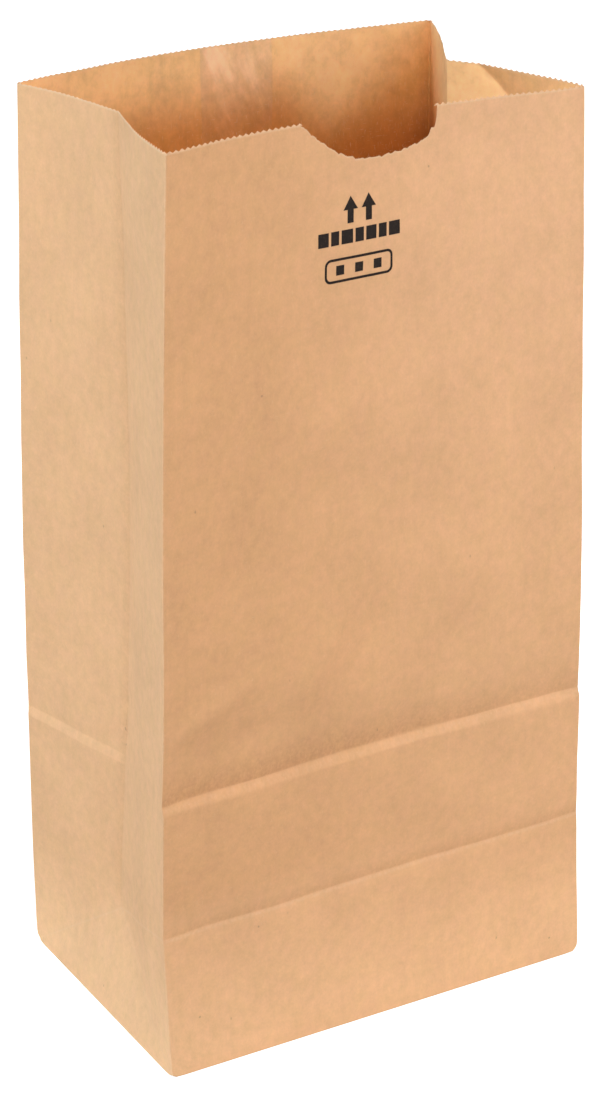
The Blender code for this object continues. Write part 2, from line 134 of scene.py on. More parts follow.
@dataclass(frozen=True)
class BagForm:
    """Sizes of the sheet and its folds, and where they put each point of the paper."""

    width: float = 181 * MM
    depth: float = 115 * MM
    height: float = 348 * MM
    paper: float = 0.15 * MM
    flap_lap: float = 25 * MM
    fold_radius: float = 0.8 * MM
    seam_left_x: float = -9 * MM
    seam_width: float = 31 * MM
    tooth_pitch: float = 2.4 * MM
    tooth_depth: float = 0.72 * MM
    notch_centre: float = -3.8 * MM
    notch_width: float = 59.5 * MM
    notch_depth: float = 14.8 * MM
    notch_sweep_left: float = 1.15
    notch_sweep_right: float = 0.25
    rim_rise: float = 2.2 * MM
    rim_rise_centre: float = 0.28 * width
    rim_rise_reach: float = 0.72 * width
    rim_waves: tuple[Triple, ...] = (
        (0.22, 0.62, 0.0), (0.17, 0.37, 1.3), (0.12, 1.5, 0.4), (0.12, 0.21, 0.0))
    notch_tear: Triple = (1.1 * MM, 0.93, 0.02)
    notch_ragged_gain: float = 8.0
    apex: float = 40 * MM
    front_line: float = 111.9 * MM
    side_line: float = 104 * MM
    line_rise: float = 3.3 * MM
    line_fade: float = 38 * MM
    line_tilt: float = 2.1 * MM
    line_waves: tuple[Triple, ...] = ((0.13, 7.3, 0.0), (0.13, 17.0, 1.1))
    front_line_depth: float = 2.4 * MM
    side_line_depth: float = 1.1 * MM
    line_end_reach: float = 11 * MM
    line_end_strength: float = 0.5
    line_wrap: float = 9 * MM
    valley_tilt: float = 2.5 * MM
    valley_press: float = 0.75 * MM
    valley_rise: float = 2.8 * MM
    valley_fade: float = 10 * MM
    valley_press_span: Pair = (0.1, 0.9)
    valley_in: float = 3.4 * MM
    valley_in_power: float = 1.5
    valley_flare: float = 1.5 * MM
    front_right_drop: float = 1.0 * MM
    tuck_at_apex: dict[Side, float] = by_side(10.5, 9)
    tuck_at_rim: dict[Side, float] = by_side(13, 25)
    tuck_swell: dict[Side, float] = by_side(5, 3.3)
    edge_bow_skew: float = 0.85
    left_fold_back: float = 3 * MM
    front_bow: float = 4.5 * MM
    back_bow: float = 9.5 * MM
    gusset_front_bow: float = 2.2 * MM
    gusset_back_bow: dict[Side, float] = by_side(-2, 1.8)
    step: float = 0.04 * MM
    settle: float = 7 * MM
    crease_softness: float = 0.45 * MM
    foot_softness: float = 4 * MM
    slack_share: float = 0.5
    corner_reach: float = 1.7 * MM
    corner_height: float = 2.0 * MM
    corner_lift: float = 0.5 * MM
    corner_pull: float = 0.7 * MM

    @property
    def valley(self) -> float:
        """Height of the valley crease across the front."""
        return self.depth / 2

    @property
    def perimeter(self) -> float:
        """Distance round the tube."""
        return 2 * (self.width + self.depth)

    @property
    def right_fold(self) -> float:
        """Distance round to the middle fold of the right gusset."""
        return self.width + self.depth / 2

    @property
    def back_right(self) -> float:
        """Distance round to the back right edge."""
        return self.width + self.depth

    @property
    def back_left(self) -> float:
        """Distance round to the back left edge."""
        return 2 * self.width + self.depth

    @property
    def left_fold(self) -> float:
        """Distance round to the middle fold of the left gusset."""
        return self.perimeter - self.depth / 2

    @property
    def notch_left(self) -> float:
        """Distance round to the thumb notch's left end."""
        return self.width / 2 + self.notch_centre - self.notch_width / 2

    def across_notch(self, steps: int) -> Array:
        """Distances round to places across the thumb notch, closer together towards its ends."""
        turn = np.linspace(0, math.pi, steps + 1)
        return mix(self.notch_left, self.notch_left + self.notch_width, (1 - np.cos(turn)) / 2)

    @property
    def seam_start(self) -> float:
        """Distance round to the seam's edge that is nearer the back right edge."""
        return self.back_right + self.width / 2 - self.seam_left_x - self.seam_width

    @property
    def seam_end(self) -> float:
        """Distance round to the seam's other edge."""
        return self.seam_start + self.seam_width

    @property
    def seam_lines(self) -> list[float]:
        """Distances round at which the number of plies changes or the paper has settled."""
        lines = [self.seam_start, self.seam_end]
        return [line + side * self.step for line in lines for side in (-1, 1)] + [self.seam_end + self.settle]

    def from_front(self, around: Array) -> Array:
        """Distances round the tube from the nearer front edge, which are 0 on the front."""
        return np.minimum(np.maximum(around - self.width, 0), np.maximum(self.perimeter - around, 0))

    def valley_height(self, share: Array | float) -> Array | float:
        """Height of the valley crease this share of the way across the front."""
        return self.valley + self.valley_tilt * share

    def drawn_in(self, height: Array, share: Array | float) -> Array:
        """How far the front is drawn in, as a share of its most, which is at the valley.

        Args:
            height: Heights above the base fold.
            share: The share of the way across the front, from left to right.

        Returns:
            Numbers from 0 to 1.
        """
        valley = self.valley_height(share)
        above = np.maximum(0.0, 1 - (height - valley) / self.depth) ** self.valley_in_power
        return np.where(height <= valley, height / valley, above)

    def pressed_line(self, above: Array, depth: float, rise: float, fade: float) -> Array:
        """Depth of a pressed line, which rises steeply to its deepest and eases out above it.

        Args:
            above: Heights above the line.
            depth: Its greatest depth.
            rise: The height over which it gets there.
            fade: The height over which it fades out.

        Returns:
            The depth at each height.
        """
        under = np.clip(1 + above / rise, 0, 1)
        over = np.clip(1 - above / fade, 0, 1) ** 2
        return depth * np.where(above < 0, under, over)

    def bowed(self, corner: Corner, height: Array) -> Array:
        """How far a long edge bows outwards between its ends."""
        _, side_y, _, _, bow = corner.value
        start = self.valley if side_y < 0 else 0.0
        share = np.clip((height - start) / (self.height - start), 0, 1)
        return bow * MM * np.sin(math.pi * share ** self.edge_bow_skew)

    def edge(self, corner: Corner, height: Array) -> Array:
        """Places of a long edge at these heights."""
        side_x, side_y, shift_x, shift_y, _ = corner.value
        lean = height / self.height
        x = side_x * self.width / 2 + shift_x * MM * lean
        y = side_y * self.depth / 2 + shift_y * MM * lean
        x = x + side_x * self.bowed(corner, height)
        z = height.copy()
        if side_y < 0:
            drawn = self.drawn_in(height, (1 + side_x) / 2)
            x, y = x + side_x * self.valley_flare * drawn, y + self.valley_in * drawn
        if corner is Corner.FRONT_RIGHT:
            z = z - self.front_right_drop * lean
        return np.stack([x, y, z], axis=-1)

    def fold(self, side: Side, height: Array) -> Array:
        """Places of a gusset's middle fold at heights at or above its lower end."""
        share = (height - self.apex) / (self.height - self.apex)
        tuck = mix(self.tuck_at_apex[side], self.tuck_at_rim[side], share)
        tuck = tuck + self.tuck_swell[side] * np.sin(math.pi * share)
        point = mix(self.edge(FRONT_CORNER[side], height), self.edge(BACK_CORNER[side], height), 0.5)
        point[..., 0] -= side.value * tuck
        if side is Side.LEFT:
            point[..., 1] += self.left_fold_back * share ** 2
        return point

    def panel(self, first: Corner, second: Corner, share: Array, height: Array, bow: float) -> Array:
        """Places on the front or back panel, at shares of the way from one edge to the other."""
        point = mix(self.edge(first, height), self.edge(second, height), share[:, None])
        point[:, 1] += bow * np.sin(math.pi * share) * (height / self.height) ** 2
        return point

    def line_height(self, around: Array) -> Array:
        """Height of the front's pressed line, which is not quite straight."""
        climb = 1 - (1 - around / self.width) ** 2
        return self.front_line + self.line_tilt * climb + ripple(around, self.line_waves)

    def front_press(self, around: Array, height: Array) -> Array:
        """How far the front's pressed line and its valley crease lie behind the smooth panel."""
        from_edge = np.minimum(around, self.width - around)
        strength = np.clip(mix(self.line_end_strength, 1.0, from_edge / self.line_end_reach), 0, 1)
        above = height - self.line_height(around)
        line = strength * self.pressed_line(above, self.front_line_depth, self.line_rise, self.line_fade)
        share = around / self.width
        press = self.valley_press * np.sin(math.pi * mix(*self.valley_press_span, share))
        ends = mix(self.drawn_in(height, 0.0), self.drawn_in(height, 1.0), share)
        valley = self.valley_in * (self.drawn_in(height, share) - ends)
        above_valley = height - self.valley_height(share)
        return line + valley + self.pressed_line(above_valley, press, self.valley_rise, self.valley_fade)

    def front(self, around: Array, height: Array) -> Array:
        """Places on the front panel, with the line pressed across it."""
        point = self.panel(Corner.FRONT_LEFT, Corner.FRONT_RIGHT, around / self.width, height, self.front_bow)
        point[:, 1] += self.front_press(around, height)
        return point

    def back(self, around: Array, height: Array) -> Array:
        """Places on the back panel."""
        share = (around - self.back_right) / self.width
        return self.panel(Corner.BACK_RIGHT, Corner.BACK_LEFT, share, height, self.back_bow)

    def gusset(self, side: Side, from_front: Array, height: Array) -> Array:
        """Places on a gusset, at distances back from its front edge."""
        half = self.depth / 2
        in_front = from_front <= half
        share = np.where(in_front, from_front, self.depth - from_front) / half
        wide = share[:, None]
        valley_end = self.valley_height(0.0 if side is Side.LEFT else 1.0)
        start = np.where(in_front, valley_end, 0.0)
        floor = mix(start, self.apex, share)
        up = np.maximum(height - floor, 0) / (self.height - floor)

        def edge_at(level: Array) -> Array:
            """Places at these heights on the edge that is nearer."""
            front, back = self.edge(FRONT_CORNER[side], level), self.edge(BACK_CORNER[side], level)
            return np.where(in_front[:, None], front, back)

        edge = edge_at(mix(start, self.height, up))
        upper = mix(edge, self.fold(side, mix(self.apex, self.height, up)), wide)
        bow = np.where(in_front, self.gusset_front_bow, self.gusset_back_bow[side])
        upper[:, 0] += side.value * bow * np.sin(math.pi * share) * up ** 2
        above = height - self.side_line
        line = self.pressed_line(above, self.side_line_depth, self.line_rise, self.line_fade)
        upper[:, 0] -= side.value * np.where(in_front, 0.0, line * np.sqrt(np.maximum(1 - share, 0)))

        apex = self.fold(side, np.array([self.apex]))[0]
        corner = edge_at(np.zeros_like(height))
        valley = edge_at(np.full_like(height, valley_end))
        rise = ((height - self.apex * share) / (valley_end * (1 - share) + 1e-9) * (1 - share))[:, None]
        middle = corner + (apex - corner) * wide + (valley - corner) * rise

        level = np.clip(height / self.apex, 0, 1)[:, None]
        low = mix(self.edge(FRONT_CORNER[side], np.zeros_like(height)), apex, level)
        high = mix(self.edge(BACK_CORNER[side], np.zeros_like(height)), apex, level)
        near = level[:, 0] * half
        span = np.maximum(self.depth - 2 * near, 1e-9)
        lower = mix(low, high, ((from_front - near) / span)[:, None])

        in_lower = (height <= self.apex * share)[:, None]
        in_middle = (in_front & (height <= floor))[:, None]
        point = np.where(in_lower, lower, np.where(in_middle, middle, upper))
        end = np.full_like(height, 0.0 if side is Side.LEFT else self.width)
        point[:, 1] += self.front_press(end, height) * np.clip(1 - from_front / self.line_wrap, 0, 1) ** 2
        return point

    def crisp(self, around: Array, height: Array) -> Array:
        """Places of points of the paper, with every crease sharp.

        Args:
            around: Distances round the tube.
            height: Heights above the base fold.

        Returns:
            One row of x, y and z for each point.
        """
        around = np.mod(around, self.perimeter)
        place = np.empty((len(around), 3))
        parts = [
            (around <= self.width, self.front),
            ((around > self.width) & (around <= self.back_right),
             lambda s, h: self.gusset(Side.RIGHT, s - self.width, h)),
            ((around > self.back_right) & (around <= self.back_left), self.back),
            (around > self.back_left, lambda s, h: self.gusset(Side.LEFT, self.perimeter - s, h)),
        ]
        for chosen, rule in parts:
            place[chosen] = rule(around[chosen], height[chosen])
        return place

    def softness(self, around: Array, height: Array) -> Array:
        """How far each side of a crease the paper turns, which is more in the slack below the gussets."""
        from_front = self.from_front(around)
        top = mix(self.valley, self.apex, np.minimum(from_front / (self.depth / 2), 1))
        slack = np.min([from_front, self.depth - from_front, height, top - height], axis=0)
        return np.clip(self.slack_share * slack, self.crease_softness, self.foot_softness)

    def sheet(self, around: Array, height: Array) -> Array:
        """Places of points of the paper, with each crease turned over a small radius."""
        around = np.mod(around, self.perimeter)
        reach = self.softness(around, height)
        total = np.zeros((len(around), 3))
        steps = (-1.0, -0.5, 0.0, 0.5, 1.0)
        for across in steps:
            for up in steps:
                total += self.crisp(around + across * reach, np.maximum(height + up * reach, 0))
        return total / len(steps) ** 2

    def directions(self, around: Array, height: Array) -> tuple[Array, Array, Array]:
        """Unit vectors along the paper to the right and upwards, and out of its outer face."""
        reach = self.crease_softness
        across = self.sheet(around + reach, height) - self.sheet(around - reach, height)
        up = self.sheet(around, height + reach) - self.sheet(around, np.maximum(height - reach, 0))
        return unit(across), unit(up), unit(np.cross(across, up))

    def rounded(self, points: Array) -> Array:
        """Points of the folded sheet with the four corners of its foot worn round."""
        moved = points.copy()
        for corner in Corner:
            side_x, side_y = corner.value[:2]
            away = np.hypot(points[:, 0] - side_x * self.width / 2, points[:, 1] - side_y * self.depth / 2)
            near = np.exp(-(away / self.corner_reach) ** 2 - (points[:, 2] / self.corner_height) ** 2)
            pull = (-side_x * self.corner_pull, -side_y * self.corner_pull, self.corner_lift)
            moved += near[:, None] * np.array(pull)
        return moved

    def notch_offset(self, around: Array) -> Array:
        """Places across the thumb notch, from -1 at its left end to 1 at its right end."""
        return (around - self.width / 2 - self.notch_centre) / (self.notch_width / 2)

    def rim(self, around: Array) -> Array:
        """Height of the cut rim under its teeth, with the thumb notch."""
        away = np.mod(around - self.rim_rise_centre + self.perimeter / 2, self.perimeter) - self.perimeter / 2
        reach = np.clip(np.abs(away) / self.rim_rise_reach, 0, 1)
        cut = self.height - self.tooth_depth + self.rim_rise * np.cos(math.pi / 2 * reach) ** 2
        offset = self.notch_offset(around)
        sweep = np.where(offset < 0, self.notch_sweep_left, self.notch_sweep_right)
        bowl = np.maximum(1 - offset * offset, 0.0) ** sweep
        tear_size, tear_place, tear_reach = self.notch_tear
        tear = tear_size * np.exp(-((offset - tear_place) / tear_reach) ** 2)
        ragged = (ripple(around, self.rim_waves) + tear) * np.minimum(1, self.notch_ragged_gain * bowl)
        return cut - np.where(np.abs(offset) < 1, self.notch_depth * bowl - ragged, 0.0)

    def outer_step(self, around: Array) -> Array:
        """How far the outer face lies inside the sheet's face where it settles past the seam's end."""
        past = (around - self.seam_end) / self.settle
        return np.where((past > 0) & (past < 1), self.paper * (1 - past), 0.0)

    def plies(self, around: Array) -> Array:
        """How many sheets of paper there are at these distances round."""
        return np.where((around > self.seam_start) & (around < self.seam_end), 2, 1)


@dataclass(frozen=True)
class Wrinkle:
    """A ridge or hollow in the paper along a straight line, its sizes in millimetres of paper."""

    start: Pair
    end: Pair
    reach: float
    lift: float
    sharp: bool = False
    end_share: float = 0.08

    def height(self, around: Array, height: Array) -> Array:
        """How far this wrinkle moves points of the paper outwards.

        Args:
            around: Distances round the tube.
            height: Heights above the base fold.

        Returns:
            Distances in metres, inwards where negative.
        """
        x0, y0 = self.start
        dx, dy = self.end[0] - x0, self.end[1] - y0
        length = math.hypot(dx, dy)
        px, py = around / MM - x0, height / MM - y0
        along = (px * dx + py * dy) / length
        aside = (px * dy - py * dx) / length
        end = np.maximum(np.maximum(-along, along - length), 0) / self.reach
        middle = np.sin(math.pi * np.clip(along / length, self.end_share, 1 - self.end_share))
        profile = np.exp(-np.abs(aside) / self.reach) if self.sharp else np.exp(-(aside / self.reach) ** 2)
        return self.lift * MM * profile * np.exp(-end ** 2) * middle


@dataclass(frozen=True)
class Relief:
    """The gentle unevenness of the opened paper: slow waves, a fine cockle and single wrinkles."""

    form: BagForm
    seed: int = 5
    slow_waves: int = 14
    slow_lengths: Pair = (38.0, 110.0)
    slow_size: float = 0.16
    cockles: int = 26
    cockle_lengths: Pair = (8.0, 17.0)
    cockle_size: float = 0.012
    calm_foot: float = 14 * MM
    edge_share: float = 0.25
    edge_reach: float = 18 * MM
    slope_reach: float = 0.3 * MM
    wrinkles: tuple[Wrinkle, ...] = (
        Wrinkle((-4, 133), (44, 158), 5, 2.0),
        Wrinkle((8, 125), (56, 135), 7, -1.7),
        Wrinkle((50, 128), (84, 192), 6, 2.1),
        Wrinkle((70, 128), (98, 178), 7, -1.7),
        Wrinkle((96, 134), (134, 184), 8, 1.6),
        Wrinkle((16, 168), (48, 222), 9, -1.6),
        Wrinkle((60, 232), (92, 262), 7, 1.1),
        Wrinkle((137.8, 322), (137.6, 366), 3.5, -0.75, True),
        Wrinkle((104, 4), (110, 18), 1.6, 0.1, True),
        Wrinkle((238, 355.6), (210, 333.5), 7, 2.6, True),
        Wrinkle((0, 57.5), (12, 55), 2.0, 0.6, True),
        Wrinkle((583, 52), (592, 58), 3, 0.4, True),
        Wrinkle((527, 128), (539, 123), 1.8, -0.9, True),
        Wrinkle((525, 112), (541, 116), 1.8, -0.8, True),
        Wrinkle((474, 103), (530, 112), 3.5, 0.55, True),
        Wrinkle((372, 300), (404, 352), 8, 0.35),
        Wrinkle((312, 330), (330, 352), 5, 0.4),
    )

    def waves(self, count: int, lengths: Pair, size: float, seed: int) -> Array:
        """Rows of wave numbers across and up, a phase and a size, which are the same in each run.

        Args:
            count: How many waves there are.
            lengths: The shortest and the longest, in millimetres.
            size: The size of each, in millimetres.
            seed: The seed of their random draws.

        Returns:
            One row for each wave, in metres.
        """
        chance = np.random.default_rng(seed)
        angle = chance.uniform(0, math.pi, count)
        number = 2 * math.pi / (chance.uniform(*lengths, count) * MM)
        phase = chance.uniform(0, 2 * math.pi, count)
        sizes = np.full(count, size * MM)
        return np.column_stack([number * np.cos(angle), number * np.sin(angle), phase, sizes])

    def height(self, around: Array, height: Array) -> Array:
        """How far the relief moves points of the paper outwards.

        Args:
            around: Distances round the tube.
            height: Heights above the base fold.

        Returns:
            Distances in metres, inwards where negative.
        """
        form = self.form
        around = np.mod(around, form.perimeter)
        slow = self.waves(self.slow_waves, self.slow_lengths, self.slow_size, self.seed)
        fine = self.waves(self.cockles, self.cockle_lengths, self.cockle_size, self.seed + 1)
        total = np.zeros_like(around)
        for across, up, phase, size in np.vstack([slow, fine]):
            total += size * np.sin(across * around + up * height + phase)
        lines = (0, form.width, form.right_fold, form.back_right, form.back_left, form.left_fold,
                 form.perimeter)
        from_line = np.min([np.abs(around - line) for line in lines], axis=0)
        total *= mix(self.edge_share, 1.0, smooth(from_line, 0, self.edge_reach))
        for wrinkle in self.wrinkles:
            total += wrinkle.height(around, height)
        return total * smooth(height, 0, self.calm_foot)

    def slopes(self, around: Array, height: Array) -> tuple[Array, Array]:
        """How steeply the relief rises to the right and upwards."""
        reach = self.slope_reach
        across = self.height(around + reach, height) - self.height(around - reach, height)
        up = self.height(around, height + reach) - self.height(around, height - reach)
        return across / (2 * reach), up / (2 * reach)


class Signal:
    """A node's output that takes part in Python arithmetic, which adds Math nodes."""

    def __init__(self, graph: "Graph", socket: NodeSocket) -> None:
        """Keeps the graph that the socket belongs to."""
        self.graph = graph
        self.socket = socket

    def math(self, operation: str, *values: "Signal | float") -> "Signal":
        """Adds a Math node on these values."""
        return self.graph.add("ShaderNodeMath", {"operation": operation}, dict(enumerate(values)))

    def __add__(self, other: "Signal | float") -> "Signal":
        """This value plus another."""
        return self.math("ADD", self, other)

    __radd__ = __add__

    def __sub__(self, other: "Signal | float") -> "Signal":
        """This value less another."""
        return self.math("SUBTRACT", self, other)

    def __rsub__(self, other: float) -> "Signal":
        """A number less this value."""
        return self.math("SUBTRACT", other, self)

    def __mul__(self, other: "Signal | float") -> "Signal":
        """This value times another."""
        return self.math("MULTIPLY", self, other)

    __rmul__ = __mul__

    def most(self, other: "Signal | float") -> "Signal":
        """This value or another, whichever is greater."""
        return self.math("MAXIMUM", self, other)

    def least(self, other: "Signal | float") -> "Signal":
        """This value or another, whichever is less."""
        return self.math("MINIMUM", self, other)

    def size(self) -> "Signal":
        """How far this value is from 0."""
        return self.math("ABSOLUTE", self)

    def other(self, name: str) -> "Signal":
        """Another output of the node that gives this value."""
        return Signal(self.graph, self.socket.node.outputs[name])

    def near(self, centre: float, reach: float) -> "Signal":
        """1 where this value is at the centre, falling softly to 0 this far from it."""
        return 1 - (self - centre).size().ramp(0.0, reach)

    def ramp(self, low: float, high: float) -> "Signal":
        """A soft step from 0 where this value is low to 1 where it is high."""
        return self.graph.add("ShaderNodeMapRange", {"interpolation_type": "SMOOTHSTEP", "clamp": True},
                              {"Value": self, "From Min": low, "From Max": high})

    def tinted(self, share: "Signal | float", tint: Colour) -> "Signal":
        """This colour, with its parts multiplied by the tint's where share is 1."""
        return self.graph.mixed(share, self, self.scaled(tint))

    def scaled(self, by: "Signal | float | Colour") -> "Signal":
        """This colour or vector, made longer or shorter, by each of its parts where by has three."""
        if isinstance(by, tuple):
            return self.graph.add("ShaderNodeVectorMath", {"operation": "MULTIPLY"}, {0: self, 1: by})
        return self.graph.add("ShaderNodeVectorMath", {"operation": "SCALE"}, {"Vector": self, "Scale": by})


class Graph:
    """Adds nodes to one tree."""

    def __init__(self, tree: NodeTree) -> None:
        """Empties the tree."""
        self.tree = tree
        tree.nodes.clear()

    def add(self, kind: str, settings: dict | None = None, values: dict | None = None,
            output: int | str = 0) -> Signal:
        """Adds a node and gives one of its outputs.

        Args:
            kind: The node's type.
            settings: Its properties, which are set first.
            values: What goes to its sockets, by name or number: a number, a tuple or a Signal.
            output: The name or number of the output to give.

        Returns:
            The output as a Signal.
        """
        node = self.tree.nodes.new(kind)
        for name, value in (settings or {}).items():
            setattr(node, name, value)
        for name, value in (values or {}).items():
            socket = node.inputs[name]
            if isinstance(value, Signal):
                self.tree.links.new(value.socket, socket)
            elif isinstance(value, tuple) and socket.type == "RGBA":
                socket.default_value = (*value, 1.0)
            else:
                socket.default_value = value
        return Signal(self, node.outputs[output]) if node.outputs else None

    def mixed(self, share: Signal | float, a: Signal | Colour, b: Signal | Colour) -> Signal:
        """The colour this share of the way from a to b."""
        return self.add("ShaderNodeMix", {"data_type": "RGBA"}, {0: share, 6: a, 7: b}, 2)

    def surface(self, values: dict) -> None:
        """Ends a material's tree in one shader with these values."""
        shader = self.add("ShaderNodeBsdfPrincipled", {}, values)
        self.add("ShaderNodeOutputMaterial", {}, {"Surface": shader})


def new_material(name: str) -> tuple[Material, Graph]:
    """An empty material of this name, and the graph of its nodes."""
    material = bpy.data.materials.new(name)
    material.use_nodes = True
    return material, Graph(material.node_tree)


@dataclass(frozen=True)
class Pattern:
    """Noise about 0.5 with features of these lengths in millimetres, made a soft step where it has one."""

    lengths: Triple
    detail: float = 2.0
    step: Pair | None = None
    roughness: float = 0.55

    def on(self, place: Signal) -> Signal:
        """The pattern's value at each place."""
        values = {"Vector": place.scaled(tuple(1 / length for length in self.lengths)),
                  "Scale": 1.0, "Detail": self.detail, "Roughness": self.roughness}
        noise = place.graph.add("ShaderNodeTexNoise", {"noise_dimensions": "3D"}, values)
        return noise.ramp(*self.step) if self.step else noise


@dataclass(frozen=True)
class Zone:
    """A part of the paper with soft edges, each from one distance to another, in millimetres."""

    left: Pair | None = None
    right: Pair | None = None
    bottom: Pair | None = None
    top: Pair | None = None

    def mask(self, around: Signal, height: Signal) -> Signal:
        """1 inside the zone and 0 outside it."""
        steps = [value.ramp(*ends) for value, ends in ((around, self.left), (height, self.bottom)) if ends]
        steps += [1 - value.ramp(*ends) for value, ends in ((around, self.right), (height, self.top)) if ends]
        return math.prod(steps)


@dataclass(frozen=True)
class Band:
    """A soft band by a line: its strength, how far off its middle lies, and its reach, in millimetres."""

    strength: float
    offset: float
    reach: float

    def mask(self, distance: Signal) -> Signal:
        """The band's strength at this distance from the line."""
        return self.strength * distance.near(self.offset, self.reach)


class Face(Enum):
    """The faces of the paper, in the order of the sheet's material slots, by their materials' names."""

    OUTER = "kraft_outer"
    INNER = "kraft_inner"
    CUT = "kraft_cut"


@dataclass(frozen=True)
class KraftFinish:
    """Unbleached kraft paper with cloudy patches, long streaks, short fibres and a few dark specks."""

    form: BagForm
    face: Face
    pink: Colour
    straw: Colour
    cloud: float
    mottle: float
    streak: float
    speck_strength: float
    noise_depth: float = 0.0
    grain: float = 0.16
    pulp_patches: Pattern = Pattern((7, 9, 9), 3.0, (0.34, 0.66))
    pulp_clouds: Pattern = Pattern((26, 34, 30))
    pulp_mottles: Pattern = Pattern((3.4, 4.2, 12), 3.0)
    pulp_streaks: Pattern = Pattern((1.3, 48, 9))
    pulp_grain: Pattern = Pattern((0.8, 1.1, 5), 3.0)
    fibre: Colour = (0.88, 0.66, 0.42)
    fibre_strength: float = 0.22
    upright_fibres: Pattern = Pattern((0.28, 2.6, 3), 1.0, (0.66, 0.76))
    level_fibres: Pattern = Pattern((2.4, 0.3, 7), 1.0, (0.68, 0.78))
    speck: Colour = (0.30, 0.16, 0.08)
    speck_cell: Pair = (13.0, 22.0)
    speck_edge: Pair = (0.006, 0.034)
    speck_chance: Pair = (0.90, 0.99)
    speck_wobble: float = 0.05
    wobble: Pattern = Pattern((0.5, 0.5, 1), 1.0)
    torn: Colour = (0.84, 0.60, 0.38)
    torn_strength: float = 0.4
    torn_reach: Pair = (0.15, 0.75)
    torn_wobble: float = 0.7
    torn_edge: Pattern = Pattern((0.7, 0.7, 2))
    bump_depth: float = 0.04 * MM
    bump_shares: Triple = (0.55, 0.5, 1.8)
    tooth: Pattern = Pattern((0.45, 0.7, 2), 3.0)
    cockle: Pattern = Pattern((4.5, 7, 9))
    roughness: float = 0.82
    roughness_spread: float = 0.12
    roughness_patches: Pattern = Pattern((1.6, 3, 3))
    gloss: float = 0.3

    def clouds(self, place: Signal) -> Signal:
        """The cloudy colour of the pulp, with its streaks and grain."""
        base = place.graph.mixed(self.pulp_patches.on(place), self.straw, self.pink)
        parts = ((self.cloud, self.pulp_clouds), (self.streak, self.pulp_streaks),
                 (self.grain, self.pulp_grain), (self.mottle, self.pulp_mottles))
        return base.scaled(sum((strength * (pattern.on(place) - 0.5) for strength, pattern in parts), 1))

    def specks(self, place: Signal) -> Signal:
        """Where a dark speck of bark lies, from 0 to 1."""
        wobble = self.wobble.on(place) - 0.5
        cells = place.scaled((1 / self.speck_cell[0], 1 / self.speck_cell[1], 0.0))
        settings = {"feature": "F1", "voronoi_dimensions": "2D"}
        near = place.graph.add("ShaderNodeTexVoronoi", settings, {"Vector": cells, "Scale": 1.0}, "Distance")
        chance = place.graph.add("ShaderNodeSeparateColor", {}, {"Color": near.other("Color")}, "Red")
        outside = (near + self.speck_wobble * wobble).ramp(*self.speck_edge)
        return (1 - outside) * chance.ramp(*self.speck_chance)

    def toned(self, colour: Signal, place: Signal, around: Signal, height: Signal) -> Signal:
        """The colour, with its slow changes of tone, which are painted light and shade."""
        raise NotImplementedError

    def marked(self, colour: Signal, place: Signal, around: Signal, height: Signal) -> Signal:
        """The colour, with what handling and paste left on it, and the outer face's painted light and shade
        by its creases.
        """
        raise NotImplementedError

    def material(self) -> Material:
        """The finish as a material, which reads the paper map and the distance from the cut."""
        material, graph = new_material(self.face.value)
        place = graph.add("ShaderNodeUVMap", {"uv_map": PAPER_MAP}).scaled(1 / MM)
        if self.noise_depth:
            values = {0: place, 1: (0.0, 0.0, self.noise_depth)}
            place = graph.add("ShaderNodeVectorMath", {"operation": "ADD"}, values)
        around = graph.add("ShaderNodeSeparateXYZ", {}, {"Vector": place}, "X")
        height = around.other("Y")
        colour = self.toned(self.clouds(place), place, around, height)
        fibres = self.upright_fibres.on(place).most(self.level_fibres.on(place))
        colour = graph.mixed(fibres * self.fibre_strength, colour, self.fibre)
        colour = graph.mixed(self.specks(place) * self.speck_strength, colour, self.speck)
        colour = self.marked(colour, place, around, height)
        cut = graph.add("ShaderNodeAttribute", {"attribute_name": CUT_DISTANCE}, output="Fac")
        fringe = 1 - (cut - self.torn_wobble * (self.torn_edge.on(place) - 0.5)).ramp(*self.torn_reach)
        colour = graph.mixed(fringe * self.torn_strength, colour, self.torn)
        tooth, fibre, cockle = self.bump_shares
        rise = self.tooth.on(place) * tooth + fibres * fibre + self.cockle.on(place) * cockle
        values = {"Strength": 1.0, "Distance": self.bump_depth, "Height": rise}
        graph.surface({
            "Base Color": colour, "Specular IOR Level": self.gloss,
            "Roughness": self.roughness + self.roughness_spread * (self.roughness_patches.on(place) - 0.5),
            "Normal": graph.add("ShaderNodeBump", {}, values)})
        return material


